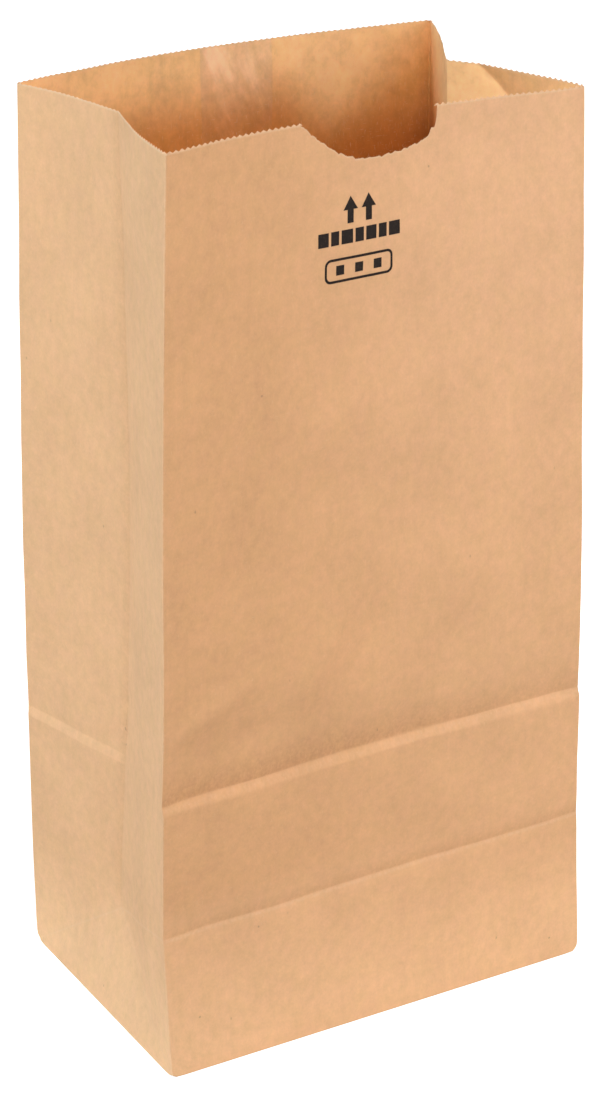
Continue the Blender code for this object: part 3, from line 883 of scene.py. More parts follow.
@dataclass(frozen=True)
class OuterKraft(KraftFinish):
    """The outer face: painted light at its foot and upper right, painted shade at its left and in its
    creases, wear and painted highlight on its folds.
    """

    face: Face = Face.OUTER
    pink: Colour = (0.782, 0.434, 0.226)
    straw: Colour = (0.768, 0.434, 0.218)
    cloud: float = 0.22
    mottle: float = 0.23
    streak: float = 0.035
    speck_strength: float = 0.5
    spots: tuple[Pair, ...] = (
        (40.8, 258.6), (13.1, 22.0), (167.2, 9.7), (113.0, 327.4), (532.9, 114.9), (533.1, 114.3),
        (534.3, 108.8))
    spot_edge: Pair = (0.15, 0.62)
    spot_wobble: float = 0.3
    light_and_shade_tones: tuple[tuple[Zone, Colour], ...] = (
        # Painted light: the walls paler towards the foot, as if lit from the floor.
        (Zone(top=(0.0, 62.0)), (1.15, 1.22, 1.27)),
        # Painted shade: the front darker and yellower towards its left.
        (Zone(right=(20.0, 175.0), bottom=(55.0, 75.0)), (0.93, 0.895, 0.845)),
        # Painted light: the upper front lighter and bluer towards its right.
        (Zone(left=(20.0, 120.0), right=(178.0, 184.0), bottom=(120.0, 320.0)), (1.05, 1.07, 1.14)),
    )
    # Painted highlight on the pressed band of the left gusset's back half.
    pressed_band_highlight: Colour = (1.07, 1.08, 1.10)
    pressed_foot: Pair = (-4.2, -3.2)
    pressed_head: Pair = (-0.2, 0.6)
    patches: Pattern = Pattern((1.2, 1.6, 2), 2.0, (0.3, 0.7))
    front_edge: float = 0.1
    # Wear and painted highlight along edges, folds and slanting creases; painted highlight only under the
    # valley and the line.
    wear_and_highlight_tint: Colour = (0.90, 0.62, 0.42)
    wear_and_highlight_range: Pair = (0.05, 0.27)
    edge_wear_and_highlight: Band = Band(1.0, 0.0, 0.75)
    fold_wear_and_highlight: Band = Band(0.5, 0.0, 0.6)
    fold_wear_and_highlight_start: Pair = (-1.0, 4.0)
    valley_highlight: Band = Band(0.8, -0.9, 1.2)
    line_highlight: Band = Band(0.6, -1.65, 2.64)
    slant_wear_and_highlight: Band = Band(0.6, 0.0, 0.8)
    gusset_edge: float = 0.2
    # Painted shade in the sharpest creases, and above the front's line and valley crease.
    crease_shade_tint: Colour = (0.80, 0.74, 0.68)
    crease_shade_strength: float = 0.9
    crease_shade_range: Pair = (0.4, 1.0)
    crease_shade_line: Band = Band(0.6, 0.4, 0.8)
    crease_shade_start: Pair = (-0.2, 0.3)
    crease_shade_over_line: Pair = (0.0, 17.0)
    crease_shade_to_left: Pair = (60.0, 170.0)
    crease_shade_at_ends: Pair = (0.8, 0.5)
    crease_shade_over_valley: Pair = (0.0, 6.0)
    crease_shade_at_valley: float = 0.55
    crease_shade_folds: tuple[Band, ...] = (Band(1.0, -0.7, 1.2), Band(0.6, -1.8, 4.5))
    crease_shade_fold_least: float = 0.55
    crease_shade_fold_most: Band = Band(0.45, 11.0, 16.0)
    crease_shade_fold_start: Pair = (0.0, 5.0)

    def specks(self, place: Signal) -> Signal:
        """Where a dark speck of bark lies, from 0 to 1, with the specks at the known spots."""
        wobble = self.spot_wobble * (self.wobble.on(place) - 0.5)
        found = super().specks(place)
        for x, y in self.spots:
            away = place.graph.add("ShaderNodeVectorMath", {"operation": "DISTANCE"},
                                   {0: place, 1: (x, y, 0.0)}, "Value")
            found = found.most(1 - (away + wobble).ramp(*self.spot_edge))
        return found

    def on_front(self, around: Signal) -> Signal:
        """1 on the front panel and 0 on the rest."""
        width = self.form.width / MM
        return 1 - around.ramp(width - self.front_edge, width + self.front_edge)

    def above_line(self, around: Signal, height: Signal) -> Signal:
        """Millimetres above the front's pressed line."""
        left = 1 - around * (MM / self.form.width)
        return height - (self.form.front_line / MM + self.form.line_tilt / MM * (1 - left * left))

    def above_valley(self, around: Signal, height: Signal) -> Signal:
        """Millimetres above the valley crease."""
        return height - (self.form.valley / MM + self.form.valley_tilt / self.form.width * around)

    def worn_and_highlighted(self, around: Signal, height: Signal) -> Signal:
        """How much wear and painted highlight the folds and creases get, from 0 to 1, with only painted
        highlight under the valley and line.
        """
        form = self.form
        half, valley, apex = form.depth / 2 / MM, form.valley / MM, form.apex / MM
        left, right = form.left_fold / MM, form.right_fold / MM
        total = self.edge_wear_and_highlight.mask(around)
        for line in (form.width, form.back_right, form.back_left, form.perimeter):
            total = total.most(self.edge_wear_and_highlight.mask(around - line / MM))
        above_apex = (height - apex).ramp(*self.fold_wear_and_highlight_start)
        for fold in (left, right):
            total = total.most(self.fold_wear_and_highlight.mask(around - fold) * above_apex)
        on_front = self.on_front(around)
        total = total.most(self.valley_highlight.mask(self.above_valley(around, height)) * on_front)
        total = total.most(self.line_highlight.mask(self.above_line(around, height)) * on_front)
        from_fold = (around - left).size().least((around - right).size())
        in_gusset = 1 - from_fold.ramp(half - self.gusset_edge, half + self.gusset_edge)
        share = 1 - from_fold * (1 / half)
        edge = self.front_edge
        front_half = (around - left).ramp(-edge, edge) + (1 - (around - right).ramp(-edge, edge))
        lower = self.slant_wear_and_highlight.mask(height - apex * share)
        upper = self.slant_wear_and_highlight.mask(height - (valley - (valley - apex) * share)) * front_half
        return total.most(in_gusset * lower.most(upper))

    def shaded_creases(self, around: Signal, height: Signal) -> Signal:
        """How much painted shade lies in the sharpest creases and above the front's line and valley crease,
        from 0 to 1.
        """
        form = self.form
        line, valley = self.above_line(around, height), self.above_valley(around, height)
        deep = mix(*self.crease_shade_at_ends, around.ramp(*self.crease_shade_to_left))
        total = self.crease_shade_line.mask(line)
        for above, strength, fade in ((line, deep, self.crease_shade_over_line),
                                      (valley, self.crease_shade_at_valley, self.crease_shade_over_valley)):
            total = total.most(strength * above.ramp(*self.crease_shade_start) * (1 - above.ramp(*fade)))
        total = self.on_front(around) * total
        # Painted shade along the left gusset's fold, strongest a little above its pressed line.
        worn = self.crease_shade_fold_least + self.crease_shade_fold_most.mask(height - form.side_line / MM)
        worn = worn * (height - form.apex / MM).ramp(*self.crease_shade_fold_start)
        for band in self.crease_shade_folds:
            total = total.most(worn * band.mask(around - form.left_fold / MM))
        return total

    def pressed(self) -> Zone:
        """The narrow band that the folded base pressed into the left gusset's back half."""
        back, fold, line = self.form.back_left / MM, self.form.left_fold / MM, self.form.side_line / MM
        foot, head = (tuple(line + end for end in ends) for ends in (self.pressed_foot, self.pressed_head))
        return Zone((back, back + 1), (fold - 1, fold), foot, head)

    def toned(self, colour: Signal, place: Signal, around: Signal, height: Signal) -> Signal:
        """The colour, with each zone's painted light or shade."""
        for zone, tone in self.light_and_shade_tones:
            colour = colour.tinted(zone.mask(around, height), tone)
        return colour

    def marked(self, colour: Signal, place: Signal, around: Signal, height: Signal) -> Signal:
        """The colour, with a painted highlight on the pressed band, painted shade in the creases, and wear
        and painted highlight on the folds.
        """
        patchy = self.patches.on(place)
        # Painted highlight: the pressed band is lighter.
        colour = colour.tinted(self.pressed().mask(around, height), self.pressed_band_highlight)
        # Painted shade in the creases and above the front's line and valley.
        crease_shade = self.shaded_creases(around, height) * mix(*self.crease_shade_range, patchy)
        colour = colour.tinted(crease_shade * self.crease_shade_strength, self.crease_shade_tint)
        # Wear and painted highlight along the folds and creases.
        worn = self.worn_and_highlighted(around, height) * mix(*self.wear_and_highlight_range, patchy)
        return place.graph.mixed(worn, colour, self.wear_and_highlight_tint)


@dataclass(frozen=True)
class InnerKraft(KraftFinish):
    """The inner face: painted light along its rim, painted shade below it, towards the back right edge and
    past the slanting crease, with paste on its seam.
    """

    face: Face = Face.INNER
    pink: Colour = (0.91, 0.475, 0.190)
    straw: Colour = (0.87, 0.465, 0.175)
    cloud: float = 0.4
    mottle: float = 0.42
    streak: float = 0.07
    speck_strength: float = 0.2
    noise_depth: float = 40.0
    # Painted shade below the rim inside the bag, and painted light along the rim.
    deep_shade_tone: Colour = (0.75, 0.52, 0.30)
    rim_light_tone: Colour = (1.12, 1.25, 1.46)
    rim_light_reach: Pair = (312.0, 345.0)
    rim_light_drop: float = 14.0
    rim_light_drop_end: Pair = (335.0, 365.0)
    # Painted shadow inside the bag near its back right edge.
    corner_shadow_tone: Colour = (0.70, 0.56, 0.36)
    corner_shadow_reach: Pair = (2.0, 42.0)
    corner_shadow_height: float = 325.0
    corner_shadow_slope: float = 1.3
    corner_shadow_steep: float = 4.0
    corner_shadow_ragged: float = 16.0
    corner_shadow_edge: Pattern = Pattern((4, 7, 9), 3.0)
    # Painted shade on the right gusset's inside beyond its slanting crease.
    shade_tone: Colour = (0.82, 0.74, 0.66)
    shade_corner: Pair = (238.0, 355.6)
    shade_slope: Pair = (0.62, 0.785)
    shade_zone: Zone = Zone(left=(184.0, 200.0), right=(236.0, 239.0), bottom=(290.0, 330.0))
    shade_start: Pair = (-0.3, 0.7)
    shade_fade: Pair = (2.0, 16.0)
    shade_faded: float = 0.6
    seam_edge: float = 0.25
    seam_thin: Colour = (0.90, 0.91, 1.02)
    seam_pasted: Colour = (1.06, 1.14, 1.44)
    paste: Pattern = Pattern((6.5, 30, 9), 3.0, (0.42, 0.72))
    paste_slant: float = math.radians(24)

    def corner_shadow(self, place: Signal, around: Signal, height: Signal) -> Signal:
        """How much painted shadow lies on the inside near its back right edge, from 0 to 1."""
        from_edge = around - self.form.back_right / MM
        away = from_edge.most(from_edge * -self.corner_shadow_steep) + self.corner_shadow_slope * (height - self.corner_shadow_height)
        return 1 - (away + self.corner_shadow_ragged * (self.corner_shadow_edge.on(place) - 0.5)).ramp(*self.corner_shadow_reach)

    def shaded(self, around: Signal, height: Signal) -> Signal:
        """Where the right gusset's inside lies beyond its slanting crease and gets painted shade, from 0 to
        1.
        """
        (corner_x, corner_y), (run, rise) = self.shade_corner, self.shade_slope
        beyond = (height - corner_y) * rise - (around - corner_x) * run
        faded = 1 - self.shade_faded * beyond.ramp(*self.shade_fade)
        return self.shade_zone.mask(around, height) * beyond.ramp(*self.shade_start) * faded

    def toned(self, colour: Signal, place: Signal, around: Signal, height: Signal) -> Signal:
        """The colour, with painted light along the rim, and painted shade below it, in the back right corner
        and past the slanting crease.
        """
        # Painted light along the rim and painted shade below it.
        light = (height + self.rim_light_drop * (1 - around.ramp(*self.rim_light_drop_end))).ramp(*self.rim_light_reach)
        colour = place.graph.mixed(light, colour.scaled(self.deep_shade_tone), colour.scaled(self.rim_light_tone))
        # Painted shadow near the back right edge inside the bag.
        colour = colour.tinted(self.corner_shadow(place, around, height), self.corner_shadow_tone)
        # Painted shade beyond the right gusset's slanting crease.
        return colour.tinted(self.shaded(around, height), self.shade_tone)

    def marked(self, colour: Signal, place: Signal, around: Signal, height: Signal) -> Signal:
        """The colour, with streaks of paste where the seam has its second ply."""
        start, end, edge = self.form.seam_start / MM, self.form.seam_end / MM, self.seam_edge
        seam = Zone((start - edge, start + edge), (end - edge, end + edge))
        slant = place.graph.add("ShaderNodeVectorRotate", {"rotation_type": "Z_AXIS"},
                                {"Vector": place, "Angle": self.paste_slant})
        pasted = place.graph.mixed(self.paste.on(slant), colour.scaled(self.seam_thin),
                                   colour.scaled(self.seam_pasted))
        return place.graph.mixed(seam.mask(around, height), colour, pasted)


@dataclass(frozen=True)
class GrainFinish:
    """Two tones of one stuff, mixed by fine noise on Object coordinates."""

    name: str
    base: Colour
    flecks: Colour
    pattern: Pattern
    roughness: float
    roughness_spread: float
    gloss: float

    def material(self) -> Material:
        """The finish as a material."""
        material, graph = new_material(self.name)
        share = self.pattern.on(graph.add("ShaderNodeTexCoord", {}, {}, "Object").scaled(1 / MM))
        graph.surface({
            "Base Color": graph.mixed(share, self.base, self.flecks), "Specular IOR Level": self.gloss,
            "Roughness": self.roughness + self.roughness_spread * (share - 0.5)})
        return material


def cut_finish(name: str) -> GrainFinish:
    """The fluffy cut of kraft paper, which is paler than its faces."""
    pattern = Pattern((0.5, 0.5, 0.5), 2.0, (0.35, 0.65))
    return GrainFinish(name, (0.82, 0.48, 0.27), (0.92, 0.57, 0.33), pattern, 0.9, 0.1, 0.2)


def ink_finish() -> GrainFinish:
    """Thin dark ink that has sunk into the paper, a little worn on its fibres."""
    pattern = Pattern((0.5, 0.5, 0.8), 3.0, (0.5, 0.75))
    return GrainFinish("print_ink", (0.013, 0.008, 0.006), (0.040, 0.024, 0.017), pattern, 0.7, 0.15, 0.12)


def add_object(name: str, data: ID) -> Object:
    """Links a new object with this mesh, curve, lamp or camera."""
    obj = bpy.data.objects.new(name, data)
    bpy.context.scene.collection.objects.link(obj)
    return obj


@dataclass
class Skin:
    """One closed mesh that is gathered block by block: points, and triangles with their map and finish."""

    perimeter: float
    points: list[Array] = field(default_factory=list)
    triangles: list[Array] = field(default_factory=list)
    maps: list[Array] = field(default_factory=list)
    slots: list[Array] = field(default_factory=list)

    def grow(self, points: Array) -> Array:
        """Adds points and gives their numbers."""
        start = sum(len(block) for block in self.points)
        self.points.append(points)
        return start + np.arange(len(points))

    def cover(self, triangles: Array, places: Array, face: Face) -> None:
        """Adds triangles whose corners all differ, with each corner's place on the paper map."""
        real = (triangles != np.roll(triangles, 1, axis=1)).all(axis=1)
        self.triangles.append(triangles[real])
        self.maps.append(places[real])
        self.slots.append(np.full(real.sum(), list(Face).index(face)))

    def strip(self, low: Array, high: Array, places: Array, face: Face) -> None:
        """Joins two rings of points.

        Args:
            low: Numbers of the ring that is lower where the strip is seen from outside, to the right.
            high: Numbers of the ring above it.
            places: The rings' places on the paper map.
            face: The strip's finish.
        """
        here, there = places, np.vstack([places[1:], places[:1] + [self.perimeter, 0.0]])
        low_after, high_after = np.roll(low, -1), np.roll(high, -1)
        self.cover(np.stack([low, low_after, high_after], 1), np.stack([here, there, there], 1), face)
        self.cover(np.stack([low, high_after, high], 1), np.stack([here, there, here], 1), face)

    def mesh(self, name: str, form: BagForm) -> Mesh:
        """All blocks as one smooth mesh, its foot's corners worn round."""
        mesh = bpy.data.meshes.new(name)
        triangles = np.concatenate(self.triangles)
        mesh.from_pydata(form.rounded(np.concatenate(self.points)).tolist(), [], triangles.tolist())
        layer = mesh.uv_layers.new(name=PAPER_MAP)
        layer.data.foreach_set("uv", np.concatenate(self.maps).reshape(-1).astype(np.float32))
        mesh.polygons.foreach_set("material_index", np.concatenate(self.slots).astype(np.int32))
        mesh.polygons.foreach_set("use_smooth", np.ones(len(triangles), bool))
        mesh.update()
        return mesh


class BaseFold:
    """The base laid flat: side flaps, folded corners and two long flaps that lap over each other."""

    def __init__(self, form: BagForm, outline: list[Pair]) -> None:
        """Keeps the form and the outline that the base shares with the walls."""
        self.form = form
        self.half_x = form.width / 2 - form.fold_radius
        self.half_y = form.depth / 2 - form.fold_radius
        self.side_end = form.width / 2 - form.depth / 2 - form.flap_lap / 2
        self.long_end = form.flap_lap / 2
        self.cut_x = self.side_end - form.tooth_pitch / 2
        self.cut_y = self.half_y - 6 * form.step
        self.outline = outline
        self.corners: list[Pair] = []
        self.lines: list[tuple[int, int]] = []
        self.numbers: dict[Pair, int] = {}

    def corner(self, x: float, y: float) -> int:
        """The number of the point at this place, added if it's new."""
        key = (round(x, 8), round(y, 8))
        if key not in self.numbers:
            self.numbers[key] = len(self.corners)
            self.corners.append((x, y))
        return self.numbers[key]

    def path(self, places: list[Pair]) -> None:
        """Joins these places by lines, one after another."""
        numbers = [self.corner(x, y) for x, y in places]
        self.lines += [(a, b) for a, b in zip(numbers, numbers[1:]) if a != b]

    def teeth(self, half: float) -> int:
        """How many half teeth a cut from -half to half has."""
        return 2 * round(2 * half / self.form.tooth_pitch)

    def toothed(self, half: float, level: float) -> list[Pair]:
        """Places along a toothed cut, and how far out it is at each."""
        count, tooth = self.teeth(half), self.form.tooth_depth
        return [(mix(-half, half, i / count), level + i % 2 * tooth) for i in range(count + 1)]

    def cut_level(self, half: float, level: float, along: float) -> float:
        """How far out a toothed cut is at one place along it."""
        phase = (along + half) / (2 * half) * self.teeth(half)
        return level + (1 - abs(phase % 2 - 1)) * self.form.tooth_depth

    def triangles(self) -> tuple[list[Pair], list[Triangle]]:
        """Points and anticlockwise triangles of the flat base."""
        step = self.form.step
        self.path([*self.outline, self.outline[0]])
        slant = self.half_y + self.long_end
        for shift in (-step, step):
            for side_x in (-1, 1):
                for side_y in (-1, 1):
                    start = (side_x * (self.half_x - 2 * step), side_y * (self.half_y - 2 * step - shift))
                    end = (side_x * (self.half_x - slant), side_y * (self.half_y - slant - shift))
                    self.path([start, end])
                self.path([(side_x * out + shift, y) for y, out in self.toothed(self.cut_y, self.side_end)])
            for side_y in (-1, 1):
                self.path([(x, side_y * out + shift) for x, out in self.toothed(self.cut_x, self.long_end)])
        corners = [Vector(place) for place in self.corners]
        verts, _, faces, *_ = delaunay_2d_cdt(corners, self.lines, [], 1, SAME_PLACE)
        places = [(v.x, v.y) for v in verts]
        return places, [turned_up(face, places) for face in faces]

    def layers(self, x: float, y: float) -> tuple[float, int]:
        """How far the base's underside is lifted at one place, and how many sheets it has there."""
        paper, settle = self.form.paper, self.form.settle
        from_side = self.half_x - abs(x)
        from_front, from_back = self.half_y + y, self.half_y - y
        flap_end = self.cut_level(self.cut_x, self.long_end, x)
        in_side = abs(x) > self.cut_level(self.cut_y, self.side_end, y)
        in_front = from_front < from_side and y < flap_end
        in_back = from_back < from_side and y > -flap_end
        sheets = (1 if in_side else 0) + (2 if in_side else 1) * (in_front + in_back)
        lift = 0.0
        if not in_front and not in_back:
            gap = min(from_front, from_back) - from_side
            lift = 2 * paper * max(0.0, 1 - gap / settle)
        elif in_front and -flap_end > y and from_side > from_back:
            lift = paper * max(0.0, 1 - (-flap_end - y) / settle)
        return lift, max(sheets, 1)


@dataclass
class BagSheet:
    """The whole folded sheet: walls, rim and base, as one closed skin round the paper."""

    form: BagForm
    relief: Relief
    spacing: float = 3.0 * MM
    row_spacing: float = 3.4 * MM
    rim_row_spacing: float = 2.89 * MM
    level_row: float = 300 * MM
    notch_points: int = 88
    round_rings: int = 2
    edge_offsets: Array = at_mm(0.3, 0.7, 1.2, 1.9)
    crease_columns: Array = at_mm(134.6, 136.1, 137.0, 137.5, 137.9, 138.4, 139.3, 140.8)
    over_crease: Array = at_mm(0.5, 1.2, 2.2, 3.6)
    even_start: float = 6.5 * MM
    even_end: float = 8 * MM
    under_line: Array = at_mm(6.4, 5.4, 4.8, 4.4, 3.6, 2.7, 1.8, 0.9, 0.35, 0.0)
    over_line: Array = at_mm(0.4, 1.0, 2.0, 3.4, 5.4)
    under_rim: Array = at_mm(1.5, 0.75, 0.35, 0.0)
    flat_base: float = 0.8
    base_map_place: Pair = (1.0, 0.5)
    far_from_cut: float = 100.0

    def row_shares(self) -> Array:
        """Rows from the base to the valley crease, as shares of its height, close at both ends."""
        middle = np.linspace(0.12, 0.93, 16)
        return np.array([0.0, 0.035, 0.07, *middle, 0.955, 0.975, 0.99, 1.0])

    def half_gusset(self, valley: float | None) -> Array:
        """Columns of half a gusset, from 0 at its edge to 1 at the fold.

        They stand where the creases that run down from the fold cross the rows, so that each crease
        passes through points of the mesh.

        Args:
            valley: Height of the valley's end at a front edge, or None for a back edge.

        Returns:
            Shares of the way from the edge to the fold.
        """
        shares = self.row_shares()
        if valley is not None:
            ratio = valley / self.form.apex
            shares = shares * ratio / (1 + shares * (ratio - 1))
        extra = self.edge_offsets[:3] / (self.form.depth / 2)
        return np.unique(np.concatenate([shares, extra]))

    def panel_columns(self, start: float, extra: list[float]) -> Array:
        """Columns of a panel that begins at start, with extra columns of its own."""
        form, inner = self.form, self.edge_offsets
        count = round(form.width / self.spacing)
        even = np.linspace(0, form.width, count + 1)
        even = even[(even > 2 * inner[-1]) & (even < form.width - 2 * inner[-1])]
        extra = np.array(extra) - start
        clear = np.array([np.abs(extra - place).min() > self.spacing / 4 for place in even])
        columns = np.concatenate([[0.0], inner, even[clear], form.width - inner, extra])
        return start + np.unique(np.round(columns, 8))

    def columns(self) -> Array:
        """Distances round the tube of all columns, from 0 up to the perimeter."""
        form = self.form
        notch = form.across_notch(self.notch_points)
        half = form.depth / 2
        parts = [
            self.panel_columns(0.0, [*notch, *self.crease_columns]),
            form.width + half * self.half_gusset(form.valley_height(1.0)),
            form.back_right - half * self.half_gusset(None),
            self.panel_columns(form.back_right, form.seam_lines),
            form.back_left + half * self.half_gusset(None),
            form.perimeter - half * self.half_gusset(form.valley_height(0.0)),
        ]
        return np.unique(np.round(np.concatenate(parts), 8))

    def crease_levels(self, around: Array) -> tuple[Array, Array]:
        """Heights of the highest crease that crosses the bag's foot, and of the pressed line above it."""
        form = self.form
        share = np.clip(form.from_front(around) / (form.depth / 2), 0, 1)
        across = np.where(around < form.back_right, np.minimum(around, form.width), 0.0)
        crease = mix(form.valley_height(across / form.width), form.apex, share)
        return crease, mix(form.line_height(across), form.side_line, share)

    def grid(self) -> tuple[Array, Array]:
        """Paper coordinates of the wall's points, one row of the arrays for each row of the grid."""
        form = self.form
        around = self.columns()
        crease, line = self.crease_levels(around)
        level, rim = np.full_like(around, self.level_row), form.rim(around)
        rows = [np.full_like(around, form.fold_radius)]
        rows += [crease * share for share in self.row_shares()[1:]]
        span = form.front_line - form.valley
        even = np.arange(self.even_start, span - self.even_end, self.row_spacing)
        close = np.concatenate([self.over_crease, even, span - self.under_line])
        rows += [mix(crease, line, share) for share in close / span]
        span = self.level_row - form.front_line
        start = self.over_line[-1]
        count = round((span - start) / self.row_spacing)
        close = np.concatenate([self.over_line, mix(start, span, np.arange(1, count + 1) / count)])
        rows += [mix(line, level, share) for share in close / span]
        span = form.height - self.level_row
        count = round(span / self.rim_row_spacing)
        close = np.concatenate([np.arange(1, count) / count, 1 - self.under_rim / span])
        rows += [mix(level, rim, share) for share in close]
        heights = np.stack(rows)
        return np.broadcast_to(around, heights.shape), heights

    def skins(self, around: Array, height: Array) -> tuple[Array, Array]:
        """The outer and the inner face of the walls at these paper coordinates."""
        form = self.form
        _, _, out = form.directions(around, height)
        outer = form.sheet(around, height) + out * self.relief.height(around, height)[:, None]
        outer -= out * form.outer_step(around)[:, None]
        inner = outer - out * (form.paper * form.plies(around))[:, None]
        return outer, inner

    def facing(self, around: Array, height: Array) -> Array:
        """Unit vectors square to the outer face, with the relief on it."""
        across, up, out = self.form.directions(around, height)
        slope_across, slope_up = self.relief.slopes(around, height)
        return unit(out - across * slope_across[:, None] - up * slope_up[:, None])

    def base_place(self, around: float) -> Pair:
        """Where on the base's flat outline the wall above it stands."""
        form = self.form
        half_x, half_y = form.width / 2, form.depth / 2
        if around <= form.width:
            x, y = around - half_x, -half_y
        elif around <= form.back_right:
            x, y = half_x, around - form.width - half_y
        elif around <= form.back_left:
            x, y = half_x - (around - form.back_right), half_y
        else:
            x, y = -half_x, half_y - (around - form.back_left)
        return x * (1 - form.fold_radius / half_x), y * (1 - form.fold_radius / half_y)

    def wall_faces(self, around: Array, height: Array) -> tuple[Array, Array]:
        """Triangles between the points of the walls' grid.

        Each cell is cut along the diagonal that its creases follow, which falls to the right in the right
        gusset's back half and in the left gusset's front half, and rises elsewhere.

        Args:
            around: Distances round of the grid's points, one row for each row of the grid.
            height: Their heights.

        Returns:
            The triangles, and the place on the paper map of each of their corners.
        """
        form = self.form
        rows, columns = around.shape
        numbers = np.arange(rows * columns).reshape(rows, columns)
        numbers = np.concatenate([numbers, numbers[:, :1]], axis=1)
        places = np.stack([around, height], axis=-1)
        places = np.concatenate([places, places[:, :1] + [form.perimeter, 0.0]], axis=1)
        shifts = ((0, 0), (0, 1), (1, 1), (1, 0))
        cells, cell_places = (
            np.stack([part[j:rows - 1 + j, i:columns + i].reshape(-1, *part.shape[2:]) for j, i in shifts], 1)
            for part in (numbers, places))
        start = around[0] + SAME_PLACE
        falls = ((start >= form.right_fold) & (around[0] < form.back_right)) | (start >= form.left_fold)
        falls = np.tile(falls, rows - 1)

        def cut(part: Array) -> Array:
            """Both triangles of each cell, by the way its diagonal runs."""
            falling = falls.reshape(-1, *[1] * (part.ndim - 1))
            return np.concatenate([np.where(falling, part[:, down], part[:, up])
                                   for down, up in (([0, 1, 3], [0, 1, 2]), ([1, 2, 3], [0, 2, 3]))])

        return cut(cells), cut(cell_places)

    def add_base(self, skin: Skin, walls: dict[Face, tuple[Array, Array]], places: Array) -> None:
        """Adds the folded base, and the small round that joins it to the walls.

        Args:
            skin: The mesh that the base is added to.
            walls: The points and the numbers of the lowest ring of each face of the walls.
            places: The ring's places on the paper map.
        """
        outline = [self.base_place(s) for s in places[:, 0]]
        base = BaseFold(self.form, outline)
        corners, faces = base.triangles()
        flat, faces = np.array(corners), np.array(faces)
        lift, sheets = np.array([base.layers(x, y) for x, y in corners]).T
        edge = [int(np.abs(flat - place).sum(1).argmin()) for place in outline]
        planes = {Face.OUTER: np.column_stack([flat, lift]),
                  Face.INNER: np.column_stack([flat, lift + sheets * self.form.paper])}
        numbers = {face: skin.grow(plane) for face, plane in planes.items()}
        base_map = flat[faces] + np.array(self.base_map_place)
        skin.cover(faces[:, ::-1] + numbers[Face.OUTER][0], base_map[:, ::-1], Face.OUTER)
        skin.cover(faces + numbers[Face.INNER][0], base_map, Face.INNER)
        for face, (foot, foot_numbers) in walls.items():
            flat_foot = planes[face][edge]
            turning = np.column_stack([foot[:, :2], flat_foot[:, 2]])
            rings = [numbers[face][edge]]
            for n in range(1, self.round_rings + 1):
                t = n / (self.round_rings + 1)
                rings.append(skin.grow((1 - t) ** 2 * flat_foot + 2 * t * (1 - t) * turning + t * t * foot))
            rings.append(foot_numbers)
            for low, high in zip(rings, rings[1:]):
                skin.strip(*((low, high) if face is Face.OUTER else (high, low)), places, face)

    def closed_skin(self, around: Array, height: Array) -> Skin:
        """The mesh of the whole bag, its walls' two faces first, on this grid of paper coordinates."""
        columns = around.shape[1]
        outer, inner = self.skins(around.reshape(-1), height.reshape(-1))
        skin = Skin(self.form.perimeter)
        outer_numbers, inner_numbers = skin.grow(outer), skin.grow(inner)
        wall, wall_map = self.wall_faces(around, height)
        skin.cover(wall, wall_map, Face.OUTER)
        skin.cover(wall[:, ::-1] + inner_numbers[0], wall_map[:, ::-1], Face.INNER)
        foot, top = (np.stack([around[row], height[row]], 1) for row in (0, -1))
        skin.strip(outer_numbers[-columns:], inner_numbers[-columns:], top, Face.CUT)
        self.add_base(skin, {Face.OUTER: (outer[:columns], outer_numbers[:columns]),
                             Face.INNER: (inner[:columns], inner_numbers[:columns])}, foot)
        return skin

    def corner_normals(self, mesh: Mesh, normals: Array, base_start: int) -> Array:
        """The normal at each corner of each triangle, so that the flat folds of the base look flat.

        Args:
            mesh: The sheet's mesh.
            normals: A normal for each point.
            base_start: The first point of the base's folds.

        Returns:
            One row for each corner, in the order of the mesh's loops.
        """
        corners = np.zeros(len(mesh.loops), np.int32)
        mesh.loops.foreach_get("vertex_index", corners)
        flat = np.zeros(3 * len(mesh.polygons), np.float32)
        mesh.polygons.foreach_get("normal", flat)
        flat = np.repeat(flat.reshape(-1, 3), 3, axis=0)
        in_base = np.repeat((corners.reshape(-1, 3) >= base_start).any(axis=1), 3)
        return np.where((in_base & (np.abs(flat[:, 2]) > self.flat_base))[:, None], flat, normals[corners])

    def build(self) -> Object:
        """The sheet as an object with its finishes on it."""
        around, height = self.grid()
        mesh = self.closed_skin(around, height).mesh("bag_sheet", self.form)
        facing = self.facing(around.reshape(-1), height.reshape(-1))
        both = 2 * len(facing)
        normals = np.zeros(3 * len(mesh.vertices), np.float32)
        mesh.vertex_normals.foreach_get("vector", normals)
        normals = normals.reshape(-1, 3)
        normals[:both] = np.vstack([facing, -facing])
        mesh.normals_split_custom_set(self.corner_normals(mesh, normals, both).tolist())
        cut = np.full(len(mesh.vertices), self.far_from_cut, np.float32)
        cut[:both] = np.tile((height[-1] - height).reshape(-1) / MM, 2)
        mesh.attributes.new(CUT_DISTANCE, "FLOAT", "POINT").data.foreach_set("value", cut)
        for finish in (OuterKraft(self.form), InnerKraft(self.form), cut_finish(Face.CUT.value)):
            mesh.materials.append(finish.material())
        LOG.info("bag_sheet: %d points, %d triangles", len(mesh.vertices), len(mesh.polygons))
        return add_object("bag_sheet", mesh)


